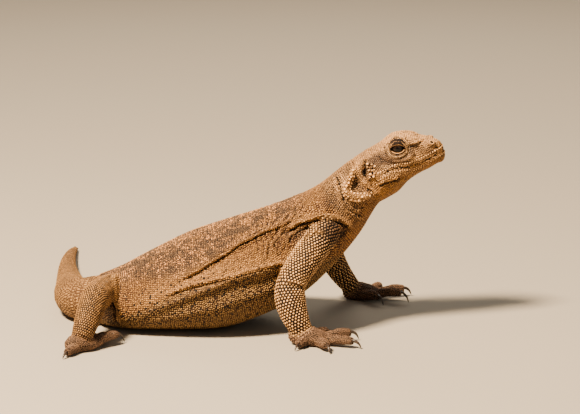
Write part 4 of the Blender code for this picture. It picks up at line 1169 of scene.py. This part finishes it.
class Coat:
    """Scales that are gathered for one piece."""

    def __init__(self, seed):
        self.rows = []
        self.random = np.random.default_rng(seed)

    def put(self, point, forward, half_width, half_length, height, shape, pale=0.0, gap=0.0, reach=1.6):
        """Set a scale on the skin next to a point, unless another stands too close."""
        spot, _, face, distance = skin_store["tree"].find_nearest(point)
        if spot is None or distance > reach or not is_free(spot, gap):
            return
        corner = skin_store["quads"][face][0]
        if shape != "cone" and skin_store["masks"]["crease"][corner] > 0.95:
            return
        take(spot)
        size = (half_width, half_length, height)
        self.rows.append((*spot, *forward, *size, *SCALE_SHAPES[shape], pale, corner))

    def mesh(self, name, unwrap):
        """One mesh of all the scales, each a closed bead of two rings and a tip."""
        rows = np.array(self.rows, float)
        count, sides = len(rows), SCALE_SIDES
        reach, rise, back, pale = rows[:, 9:13].T
        corner = rows[:, 13].astype(int)
        masks = {mask: skin_store["masks"][mask][corner] for mask in MASKS}
        normal = skin_store["normals"][corner]
        forward = unit(rows[:, 3:6] - (rows[:, 3:6] * normal).sum(1)[:, None] * normal)
        across = np.cross(normal, forward)
        wide, long, high = (rows[:, 6:9] * self.random.uniform(0.86, 1.12, (count, 3))).T
        high = high * (1 - 0.6 * masks["golden"])
        high = high * np.where(pale > 0, 1, 1 - 0.4 * masks["crest"])
        turn = np.arange(sides) * 2 * math.pi / sides
        flat = np.zeros((count, 2 * sides + 1, 3))
        flat[:, :sides, 0] = np.cos(turn)
        flat[:, :sides, 1] = np.sin(turn)
        flat[:, :sides, 2] = -1
        flat[:, sides:-1, 0] = np.cos(turn) * reach[:, None] - back[:, None] * 0.5
        flat[:, sides:-1, 1] = np.sin(turn) * reach[:, None]
        flat[:, sides:-1, 2] = rise[:, None]
        flat[:, -1, 0] = -back
        flat[:, -1, 2] = 1
        lift = np.where(flat[:, :, 2] < 0, -SCALE_SINK, flat[:, :, 2] * high[:, None])
        points = (
            rows[:, None, 0:3]
            + forward[:, None] * (flat[:, :, :1] * long[:, None, None])
            + across[:, None] * (flat[:, :, 1:2] * wide[:, None, None])
            + normal[:, None] * lift[:, :, None]
        )

        ring = np.arange(sides)
        pairs = list(zip(ring, (ring + 1) % sides))
        faces = [(a, b, b + sides, a + sides) for a, b in pairs]
        faces += [(a + sides, b + sides, 2 * sides) for a, b in pairs]
        faces.append(tuple(ring[::-1]))
        loops = np.array([place for face in faces for place in face])
        starts = np.cumsum([0] + [len(face) for face in faces])[:-1]
        per_scale = 2 * sides + 1
        each = np.arange(count)[:, None]
        mesh = mesh_from(
            name,
            kept_in_box(points.reshape(-1, 3)),
            (loops[None] + each * per_scale).ravel(),
            (starts[None] + each * len(loops)).ravel(),
        )

        masks["pale"] = np.maximum(masks["pale"], pale)
        masks["crease"] = masks["crease"] * (1 - 0.5 * pale)
        masks["tone"] = self.random.uniform(0, 1, count)
        marks = {mask: np.repeat(values, per_scale) for mask, values in masks.items()}
        marks["tip"] = np.tile([0.0] * sides + [0.6] * sides + [1.0], count)
        write_marks(mesh, marks)
        place = np.repeat(unwrap(rows[:, 0:3]), len(loops), axis=0)
        patch = flat[:, loops, :2].reshape(-1, 2) * BAKE_PATCH / 2
        mesh.uv_layers.new(name="OFBake").data.foreach_set("uv", (place + patch).ravel())
        return mesh


class Course:
    """A line through a part of the body, with an upward and a sideways direction at each stop."""

    def __init__(self, middles, ups, sides):
        self.middles, self.ups, self.sides = middles, ups, sides
        self.ahead = unit(np.gradient(middles, axis=0))

    def unwrap(self, points):
        """Place of each point on the part's skin unrolled: along the line, and round it."""
        gap = ((points[:, None] - self.middles[None]) ** 2).sum(2)
        nearest = gap.argmin(1)
        offset = points - self.middles[nearest]
        along = nearest + (offset * self.ahead[nearest]).sum(1) * 0.5
        turn = np.arctan2((offset * self.sides[nearest]).sum(1), (offset * self.ups[nearest]).sum(1))
        share = np.column_stack((np.clip(along / len(self.middles), 0, 1), turn / (2 * math.pi) + 0.5))
        return 0.02 + 0.96 * share


def trunk_course(first, last, step):
    """The line through the trunk between two sections."""
    places = np.linspace(first, last, 400)
    lower = np.clip(np.floor(places).astype(int), 0, len(TRUNK_SECTIONS) - 2)
    rows = read_between(TRUNK_SECTIONS, lower, places - lower)
    rows = evenly(rows, (rows[:, :2] + rows[:, 2:]) / 2, step)
    middle = (rows[:, :2] + rows[:, 2:]) / 2
    up = unit(rows[:, :2] - rows[:, 2:])
    zeros = np.zeros(len(rows))
    middles = np.column_stack((middle[:, 0], zeros, middle[:, 1]))
    ups = np.column_stack((up[:, 0], zeros, up[:, 1]))
    return Course(middles, ups, np.tile((0.0, 1.0, 0.0), (len(up), 1)))


def tube_course(places, step):
    """The line through a leg or the tail."""
    middles = smooth_course(places, step)
    ahead = unit(np.gradient(middles, axis=0))
    up = np.array((0.0, 0.0, 1.0)) if abs(ahead[0][2]) < 0.8 else np.array((1.0, 0.0, 0.0))
    ups = []
    for direction in ahead:
        up = unit(up - (up @ direction) * direction)
        ups.append(up)
    ups = np.array(ups)
    return Course(middles, ups, np.cross(ahead, ups))


def ring_points(tree, course, stop, count, reach):
    """Where rays out from a stop on the course meet the surface, in mm."""
    found = np.full((count, 3), np.nan)
    middle = Vector(course.middles[stop])
    for place in range(count):
        turn = 2 * math.pi * place / count
        direction = course.ups[stop] * math.cos(turn) + course.sides[stop] * math.sin(turn)
        spot = tree.ray_cast(middle, Vector(direction), reach)[0]
        if spot is not None:
            found[place] = spot
    return found


def spread_rows(coat, tree, course, spacing, reach, height, shape, half, snap=1.3, rays=72, stray=0.1):
    """Cover a part in rows of scales that ring it, each row shifted by half a scale."""
    row_step = np.linalg.norm(course.middles[1] - course.middles[0])
    rings = [ring_points(tree, course, stop, rays, reach) for stop in range(len(course.middles))]
    for stop, ring in enumerate(rings):
        before, after = rings[max(stop - 1, 0)], rings[min(stop + 1, len(rings) - 1)]
        span = np.linalg.norm(after - before, axis=1) / (2 if 0 < stop < len(rings) - 1 else 1)
        closed = np.vstack((ring, ring[:1]))
        steps = np.linalg.norm(np.diff(closed, axis=0), axis=1)
        steps = np.where(np.isnan(steps), 0, steps)
        total = steps.sum()
        if total < spacing * 3:
            continue
        count = int(round(total / spacing))
        pace = total / count
        travelled = np.concatenate(([0], np.cumsum(steps)))
        for place in range(count):
            wander = stray * coat.random.uniform(-1, 1, 2)
            mark = (place + 0.5 * (stop % 2) + wander[0]) * pace % total
            slot = min(int(np.searchsorted(travelled, mark, side="right")) - 1, rays - 1)
            share = (mark - travelled[slot]) / max(steps[slot], 1e-9)
            point = closed[slot] * (1 - share) + closed[slot + 1] * share
            if np.isnan(point).any():
                continue
            local = span[slot] if not math.isnan(span[slot]) else row_step
            local = min(max(local, 0.7 * row_step), 1.5 * row_step)
            coat.put(
                point + course.ahead[stop] * (local * wander[1]),
                course.ahead[stop],
                pace * half[0] * 1.04,
                local * half[1] * 1.05,
                height,
                shape,
                gap=0.68 * min(pace, local * 1.1),
                reach=snap,
            )


def fill_bare(coat, wanted, spacing, height, shape, forward):
    """Set scales on what is still bare of one region."""
    taken = [point for cell in skin_store["taken"].values() for point in cell]
    near = KDTree(len(taken))
    for place, point in enumerate(taken):
        near.insert(point, place)
    near.balance()
    points = skin_store["points"]
    bare = [place for place in np.flatnonzero(wanted) if near.find(points[place])[2] > 0.8 * spacing]
    coat.random.shuffle(bare)
    half_width, half_length, gap = 0.52 * spacing, 0.56 * spacing, 0.84 * spacing
    for place in bare:
        coat.put(points[place], forward, half_width, half_length, height, shape, gap=gap, reach=0.5)


def put_row(coat, name, side):
    """Set one row of large pale scales on one side of the head or neck."""
    places, spacing, half_width, half_length, height, shape, pale = SCALE_ROWS[name]
    course = smooth_course(places, spacing) * (1, side, 1)
    for place, point in enumerate(course):
        if side > 0 and abs(point[1]) < 0.3 * spacing:
            continue
        size = 0.85 + 0.3 * coat.random.random()
        forward = (0.8, -0.25 * side, 0.35)
        if shape != "cone":
            forward = course[max(place, 1)] - course[max(place, 1) - 1]
        wide, long, high = half_width * size, half_length * size, height * size
        coat.put(point, forward, wide, long, high, shape, pale, spacing * 0.62, 3)


def nostril_ring(side, count, radius):
    """Points of the skin in a ring round one nostril."""
    centre, normal = mirrored(NOSTRIL, side), unit(mirrored(NOSTRIL_FACING, side))
    first = unit(np.cross(normal, (0, 0, 1.0)))
    second = np.cross(normal, first)
    found = []
    for place in range(count):
        turn = 2 * math.pi * place / count
        offset = first * (1.15 * math.cos(turn)) + second * (0.85 * math.sin(turn))
        start = Vector(centre + offset * radius + normal * 3)
        hit = skin_store["tree"].ray_cast(start, Vector(-normal), 6)[0]
        found.append(hit or start - 3 * Vector(normal))
    return found


def lid_point(middle, u, w, depth):
    """A point over an eye, from its place along and across the tilted opening."""
    x = u * math.cos(LID_TILT) - w * math.sin(LID_TILT)
    z = u * math.sin(LID_TILT) + w * math.cos(LID_TILT)
    return (middle[0] + x, middle[1] + depth, middle[2] + z)


def block_eye(side, out):
    """Keep the scales off an eye's opening and the edges of its lids."""
    middle, radius = eye_ball(side)
    for ring, count in ((0.0, 1), (0.35, 8), (0.7, 14), (1.0, 22)):
        for place in range(count):
            turn = 2 * math.pi * place / count
            u, w = EYE_OPENING[0] * ring * math.cos(turn), EYE_OPENING[1] * ring * math.sin(turn)
            depth = math.sqrt(max((radius + 0.2) ** 2 - u * u - w * w, 0))
            point = lid_point(middle, u, w, out * depth)
            take(point)
            take(skin_store["tree"].find_nearest(Vector(point))[0])


def ring_lids(coat, side, out):
    """Set small scales in rings over the lids of one eye."""
    middle, _ = eye_ball(side)
    for wide, tall, spacing, pale in LID_ROWS:
        count = int(math.pi * (wide + tall) / spacing)
        for place in range(count):
            turn = 2 * math.pi * place / count
            start = Vector(lid_point(middle, wide * math.cos(turn), tall * math.sin(turn), out * 12))
            hit = skin_store["tree"].ray_cast(start, Vector((0, -out, 0)), 12)[0]
            if hit is None:
                continue
            forward = (-wide * math.sin(turn), 0.0, tall * math.cos(turn))
            coat.put(hit, forward, 0.52 * spacing, 0.56 * spacing, 0.16, "granule", pale, 0.6 * spacing, 0.8)


def nearest_tree(names):
    """A tree of some of the solids, in mm."""
    corners, faces = [], []
    for name in names:
        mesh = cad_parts[name].data
        start = len(corners)
        corners += [tuple(vert.co / MM) for vert in mesh.vertices]
        faces += [[start + index for index in face.vertices] for face in mesh.polygons]
    return BVHTree.FromPolygons(corners, faces)


def add_coat(coat, name, unwrap, kind):
    """Make a piece of the gathered scales."""
    add_piece(name, coat.mesh(name, unwrap), hide_for(kind))


def revolved(profile, sides, middle, out):
    """Points and faces of a closed form turned from distances out and radii, about a sideways line."""
    points = [(middle[0], middle[1] + out * profile[0][0], middle[2])]
    for reach, radius in profile[1:-1]:
        for place in range(sides):
            turn = 2 * math.pi * place / sides
            across, up = radius * math.cos(turn), radius * math.sin(turn)
            points.append((middle[0] + across, middle[1] + out * reach, middle[2] + up))
    points.append((middle[0], middle[1] + out * profile[-1][0], middle[2]))
    faces = []
    for place in range(sides):
        following = (place + 1) % sides
        faces.append((0, 1 + place, 1 + following))
        for ring in range(len(profile) - 3):
            a, b = 1 + ring * sides, 1 + (ring + 1) * sides
            faces.append((a + place, b + place, b + following, a + following))
        a = 1 + (len(profile) - 3) * sides
        faces.append((a + place, len(points) - 1, a + following))
    if out < 0:
        faces = [face[::-1] for face in faces]
    return points, faces


def tube_round(places, radii, sides=10):
    """Points and faces of a closed ring-shaped tube along the places."""
    places = np.array(places)
    ahead = unit(np.roll(places, -1, axis=0) - np.roll(places, 1, axis=0))
    outward = unit(places - places.mean(0))
    outward = unit(outward - (outward * ahead).sum(1)[:, None] * ahead)
    lift = np.cross(ahead, outward)
    points, faces = [], []
    for stop in range(len(places)):
        a, b = stop * sides, (stop + 1) % len(places) * sides
        for place in range(sides):
            turn = 2 * math.pi * place / sides
            spoke = outward[stop] * math.cos(turn) + lift[stop] * math.sin(turn)
            points.append(places[stop] + radii[stop] * spoke)
            following = (place + 1) % sides
            faces.append((a + place, b + place, b + following, a + following))
    return points, faces


def lens_in(ring, out):
    """Points and faces of a lens that fills a ring, such as the lens painted as the shade inside a nostril.
    """
    ring = np.array(ring)
    middle = ring.mean(0)
    normal = unit(np.cross(ring[4] - middle, ring[0] - middle))
    normal = normal * np.sign(normal[1] * out)
    points = [*(ring + 0.12 * normal), middle + 0.2 * normal, middle - 0.2 * normal]
    count, faces = len(ring), []
    for place in range(count):
        following = (place + 1) % count
        faces += [(place, following, count), (following, place, count + 1)]
    return points, faces


# Operators


class ChuckwallaSkin(bpy.types.Operator):
    """Build the skin that stands for all nodes of flesh"""

    bl_idname = "chuckwalla.skin"
    bl_label = "Skin"

    def execute(self, context):
        skin = add_piece("skin", build_skin(), hide_for("body"))
        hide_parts(*FLESH)
        return {"FINISHED"}


class ChuckwallaHeadScales(bpy.types.Operator):
    """Set the scales of the head, jaws and neck"""

    bl_idname = "chuckwalla.head_scales"
    bl_label = "Head and neck scales"

    def execute(self, context):
        sizes = context.scene.chuckwalla_sizes
        tree, masks, last = skin_store["tree"], skin_store["masks"], len(TRUNK_SECTIONS) - 1
        head, neck = Coat(11), Coat(12)
        for name in SCALE_ROWS:
            for side in SIDES.values():
                put_row(neck if name.startswith("neck") else head, name, side)
        for name, side in SIDES.items():
            block_eye(name, side)
            ring_lids(head, name, side)
            for point in nostril_ring(side, 1, 0.0) + nostril_ring(side, 12, NOSTRIL_RIM[0]):
                take(point)
        spacing = sizes.head_scale / MM
        course = trunk_course(HEAD_START, last, spacing * 0.86)
        spread_rows(head, tree, course, spacing, 25, 0.24, "plate", (0.5, 0.61), 0.6, 96)
        on_head = masks["head"] + masks["jaw"] > 0.5
        for share, height in ((0.9, 0.2), (0.6, 0.14)):
            fill_bare(head, on_head, spacing * share, height, "plate", (1, 0, 0.4))
        add_coat(head, "head_scales", trunk_course(9, last, 1.0).unwrap, "head")
        spacing = sizes.neck_scale / MM
        course = trunk_course(TORSO_END, HEAD_START, spacing * 0.86)
        solids = nearest_tree(("neck", "torso", "head", "jaw"))
        spread_rows(neck, solids, course, spacing, 40, 0.42, "keeled", (0.46, 0.56), 1.6, 96, 0.14)
        for share, height, shape in ((1, 0.4, "keeled"), (0.6, 0.25, "granule")):
            fill_bare(neck, masks["neck"] > 0.3, spacing * share, height, shape, (0.7, 0, 0.6))
        add_coat(neck, "neck_scales", trunk_course(8, 13, 1.0).unwrap, "head")
        return {"FINISHED"}


class ChuckwallaTorsoScales(bpy.types.Operator):
    """Set the granules of the back, flanks and belly"""

    bl_idname = "chuckwalla.torso_scales"
    bl_label = "Torso scales"

    def execute(self, context):
        spacing = context.scene.chuckwalla_sizes.torso_scale / MM
        course = trunk_course(0.4, TORSO_END, spacing * 0.88)
        coat = Coat(13)
        solids = nearest_tree(("torso", "neck"))
        spread_rows(coat, solids, course, spacing, 60, 0.4, "granule", (0.46, 0.54), 1.7, 160, 0.22)
        others = sum(skin_store["masks"][region] for region in REGIONS)
        fill_bare(coat, others < 0.5, spacing, 0.36, "granule", (1, 0, 0.2))
        unwrap = trunk_course(0, 10, 1.0).unwrap
        for part, low, high in (("rear", -math.inf, 4), ("middle", 4, 36), ("front", 36, math.inf)):
            for side, sign in SIDES.items():
                piece = Coat(14)
                band = (row for row in coat.rows if low <= row[0] < high)
                piece.rows = [row for row in band if (row[1] >= 0) == (sign > 0)]
                add_coat(piece, f"torso_scales_{part}_{side}", unwrap, "body")
        return {"FINISHED"}


class ChuckwallaTailScales(bpy.types.Operator):
    """Set the keeled scales that ring the tail"""

    bl_idname = "chuckwalla.tail_scales"
    bl_label = "Tail scales"

    def execute(self, context):
        spacing = context.scene.chuckwalla_sizes.tail_scale / MM
        tree, on_tail = skin_store["tree"], skin_store["masks"]["tail"] > 0.5
        course = tube_course(TAIL_LINE, spacing * 0.9)
        coat = Coat(15)
        spread_rows(coat, tree, course, spacing, 16, 0.22, "keeled", (0.46, 0.56), rays=60, stray=0.03)
        fill_bare(coat, on_tail, spacing * 0.75, 0.15, "granule", (0.1, -1, 0.1))
        add_coat(coat, "tail_scales", course.unwrap, "tail")
        return {"FINISHED"}


class ChuckwallaLegScales(bpy.types.Operator):
    """Set the scales of the legs, hands and feet"""

    bl_idname = "chuckwalla.leg_scales"
    bl_label = "Leg and foot scales"

    def execute(self, context):
        sizes = context.scene.chuckwalla_sizes
        tree, masks, points = (skin_store[name] for name in ("tree", "masks", "points"))
        for seed, (leg, line) in enumerate(LEG_LINES.items()):
            region, side = leg.rsplit("_", 1)
            spacing = getattr(sizes, f"{region}_scale") / MM
            shape, height, half, pace = LEG_SCALES[region]
            course = tube_course(line, spacing * pace)
            coat = Coat(20 + seed)
            spread_rows(coat, tree, course, spacing, LEG_REACH, height, shape, half, rays=64, stray=0.04)
            own = (masks[region] > 0.5) & (points[:, 1] * SIDES[side] > 0)
            downward = course.ahead[len(course.ahead) // 2]
            fill_bare(coat, own, spacing * 0.9, height * 0.8, "granule", downward)
            add_coat(coat, f"{leg}_scales", course.unwrap, "leg")
        spacing = sizes.foot_scale / MM
        for seed, (foot, heel) in enumerate(FEET.items()):
            heel = np.array(heel)
            own = (masks["foot"] > 0.5) & (np.linalg.norm(points - heel, axis=1) < FOOT_REACH)
            own &= points[:, 1] * heel[1] > 0
            coat = Coat(30 + seed)
            for share, height in ((1, 0.2), (0.62, 0.15)):
                fill_bare(coat, own, spacing * share, height, "granule", (1, 0, 0.05))
            course = tube_course((heel - (8, 0, 0), heel, heel + (30, 0, -2)), 1.0)
            add_coat(coat, f"{foot}_scales", course.unwrap, "foot")
        return {"FINISHED"}


class ChuckwallaEyes(bpy.types.Operator):
    """Build the eyeballs, the edges of the lids and the rims of the nostrils"""

    bl_idname = "chuckwalla.eyes"
    bl_label = "Eyes, lids and nostrils"

    def execute(self, context):
        for side, out in SIDES.items():
            middle, radius = eye_ball(side)
            profile = []
            for step in range(BALL_STEPS + 1):
                turn = math.pi * step / BALL_STEPS
                bulge = CORNEA_BULGE * math.exp(-((turn / CORNEA_WIDTH) ** 2))
                reach = radius + bulge - BALL_INSET
                profile.append((reach * math.cos(turn), reach * math.sin(turn)))
            ball = small_mesh(f"eyeball_{side}", *revolved(profile, BALL_SIDES, middle, out))
            wet = painted("wet cornea over brown iris", wet_eye, middle)
            eye = add_piece(f"eyeball_{side}", ball, wet)
            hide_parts(f"eye_{side}")
            places, radii = [], []
            for step in range(LID_STEPS):
                turn = 2 * math.pi * step / LID_STEPS
                u = EYE_OPENING[0] * math.cos(turn)
                w = EYE_OPENING[1] * math.sin(turn)
                u += 0.3 * abs(math.cos(turn)) ** 6 * math.copysign(1, math.cos(turn))
                depth = math.sqrt(max((radius + 0.24) ** 2 - u * u - w * w, 1.0))
                places.append(lid_point(middle, u, w, out * depth))
                radii.append(LID_EDGE * (0.78 + 0.22 * abs(math.sin(turn))))
            add_trim(f"lid_edge_{side}", *tube_round(places, radii), pale=0.1, tip=0.6, tone=0.5)
            rim = nostril_ring(out, 24, NOSTRIL_RIM[0])
            rim = tube_round(rim, [NOSTRIL_RIM[1]] * len(rim))
            add_trim(f"nostril_rim_{side}", *rim, pale=0.2, tip=0.6, tone=0.5)
            # A dark lens fills each nostril, painted with the shade of its hole
            add_trim(f"nostril_{side}", *lens_in(nostril_ring(out, 16, 0.6), out), crease=1.0)
        return {"FINISHED"}


class ChuckwallaClaws(bpy.types.Operator):
    """Build the claws, rooted in the toes"""

    bl_idname = "chuckwalla.claws"
    bl_label = "Claws"

    def execute(self, context):
        horn = painted("claw horn", claw_horn)
        for name in sorted(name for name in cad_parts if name.startswith("claw")):
            _, end, side, _ = name.split("_")
            low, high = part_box(f"{'hand' if end == 'front' else 'foot'}_{side}")
            centre = (low + high) / 2
            solid = welded(name)
            reach = sorted((vert.co - centre).length for vert in solid.verts)
            limit = reach[0] + CLAW_ROOT_SHARE * (reach[-1] - reach[0])
            root = [vert for vert in solid.verts if (vert.co - centre).length < limit]
            rest = [vert for vert in solid.verts if (vert.co - centre).length >= limit]
            root_middle = sum((vert.co for vert in root), Vector()) / len(root)
            rest_middle = sum((vert.co for vert in rest), Vector()) / len(rest)
            back = (root_middle - rest_middle).normalized()
            for vert in root:
                vert.co += back * CLAW_ROOT * MM
            claw = swollen(solid, CLAW_SWELL * MM, f"{name}_horn")
            made, corners = modified(claw, "SUBSURF", levels=2)
            made.vertices.foreach_set("co", (kept_in_box(corners) * MM).ravel())
            made.shade_smooth()
            piece = add_piece(f"{name}_horn", made, horn)
            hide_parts(name)
        return {"FINISHED"}


class ChuckwallaStage(bpy.types.Operator):
    """Set the floor, the soft studio light and the camera"""

    bl_idname = "chuckwalla.stage"
    bl_label = "Stage"

    def execute(self, context):
        scene = context.scene
        board = bpy.data.materials.new("matt painted board")
        board.use_nodes = True
        shader = board.node_tree.nodes["Principled BSDF"]
        shader.inputs["Base Color"].default_value = linear("9E978B")
        shader.inputs["Roughness"].default_value = 0.9
        mesh = bpy.data.meshes.new("floor")
        corners = [(x * FLOOR_REACH, y * FLOOR_REACH, 0) for x, y in ((-1, -1), (1, -1), (1, 1), (-1, 1))]
        mesh.from_pydata(corners, [], [(0, 1, 2, 3)])
        floor = bpy.data.objects.new("floor", mesh)
        mesh.materials.append(board)
        scene.collection.objects.link(floor)

        world = bpy.data.worlds.new("studio")
        world.use_nodes = True
        world.node_tree.nodes["Background"].inputs[0].default_value = linear("E9E2D8")
        world.node_tree.nodes["Background"].inputs[1].default_value = SKY_LIGHT
        scene.world = world
        for name, (place, size, power, tint) in LIGHTS.items():
            lamp = bpy.data.lights.new(name, "AREA")
            lamp.size = size
            lamp.energy = power
            lamp.color = linear(tint)[:3]
            holder = bpy.data.objects.new(name, lamp)
            holder.location = place
            holder.rotation_euler = (Vector(LIGHT_AIM) - Vector(place)).to_track_quat("-Z", "Y").to_euler()
            scene.collection.objects.link(holder)

        lens = bpy.data.cameras.new("camera")
        lens.lens = CAMERA_LENS
        lens.sensor_width = 36
        lens.clip_start = 0.05
        camera = bpy.data.objects.new("camera", lens)
        x, y, z = CAMERA_AIM
        back, up = math.cos(CAMERA_RAISED) * CAMERA_DISTANCE, math.sin(CAMERA_RAISED) * CAMERA_DISTANCE
        camera.location = (x, y - back, z + up)
        camera.rotation_euler = (math.pi / 2 - CAMERA_RAISED, 0, 0)
        scene.collection.objects.link(camera)
        scene.camera = camera
        return {"FINISHED"}


OPERATORS = (
    ChuckwallaSkin,
    ChuckwallaHeadScales,
    ChuckwallaLegScales,
    ChuckwallaTailScales,
    ChuckwallaTorsoScales,
    ChuckwallaEyes,
    ChuckwallaClaws,
    ChuckwallaStage,
)


class ChuckwallaPanel(bpy.types.Panel):
    """Sizes, colours and pieces of the chuckwalla"""

    bl_idname = "VIEW3D_PT_chuckwalla"
    bl_label = "Chuckwalla"
    bl_space_type = "VIEW_3D"
    bl_region_type = "UI"
    bl_category = "Chuckwalla"

    def draw(self, context):
        for group in (context.scene.chuckwalla_sizes, context.scene.chuckwalla_colours):
            box = self.layout.box()
            for name in group.__annotations__:
                box.prop(group, name)
        for operator in OPERATORS:
            self.layout.operator(operator.bl_idname)


CLASSES = (ChuckwallaSizes, ChuckwallaColours, *OPERATORS, ChuckwallaPanel)


def register():
    for group in CLASSES:
        bpy.utils.register_class(group)
    bpy.types.Scene.chuckwalla_sizes = PointerProperty(type=ChuckwallaSizes)
    bpy.types.Scene.chuckwalla_colours = PointerProperty(type=ChuckwallaColours)


def unregister():
    del bpy.types.Scene.chuckwalla_colours
    del bpy.types.Scene.chuckwalla_sizes
    for group in reversed(CLASSES):
        bpy.utils.unregister_class(group)


def main():
    """Build every piece in order."""
    register()
    bpy.ops.chuckwalla.skin()
    bpy.ops.chuckwalla.head_scales()
    bpy.ops.chuckwalla.leg_scales()
    bpy.ops.chuckwalla.tail_scales()
    bpy.ops.chuckwalla.torso_scales()
    bpy.ops.chuckwalla.eyes()
    bpy.ops.chuckwalla.claws()
    bpy.ops.chuckwalla.stage()


if __name__ == "__main__":
    main()
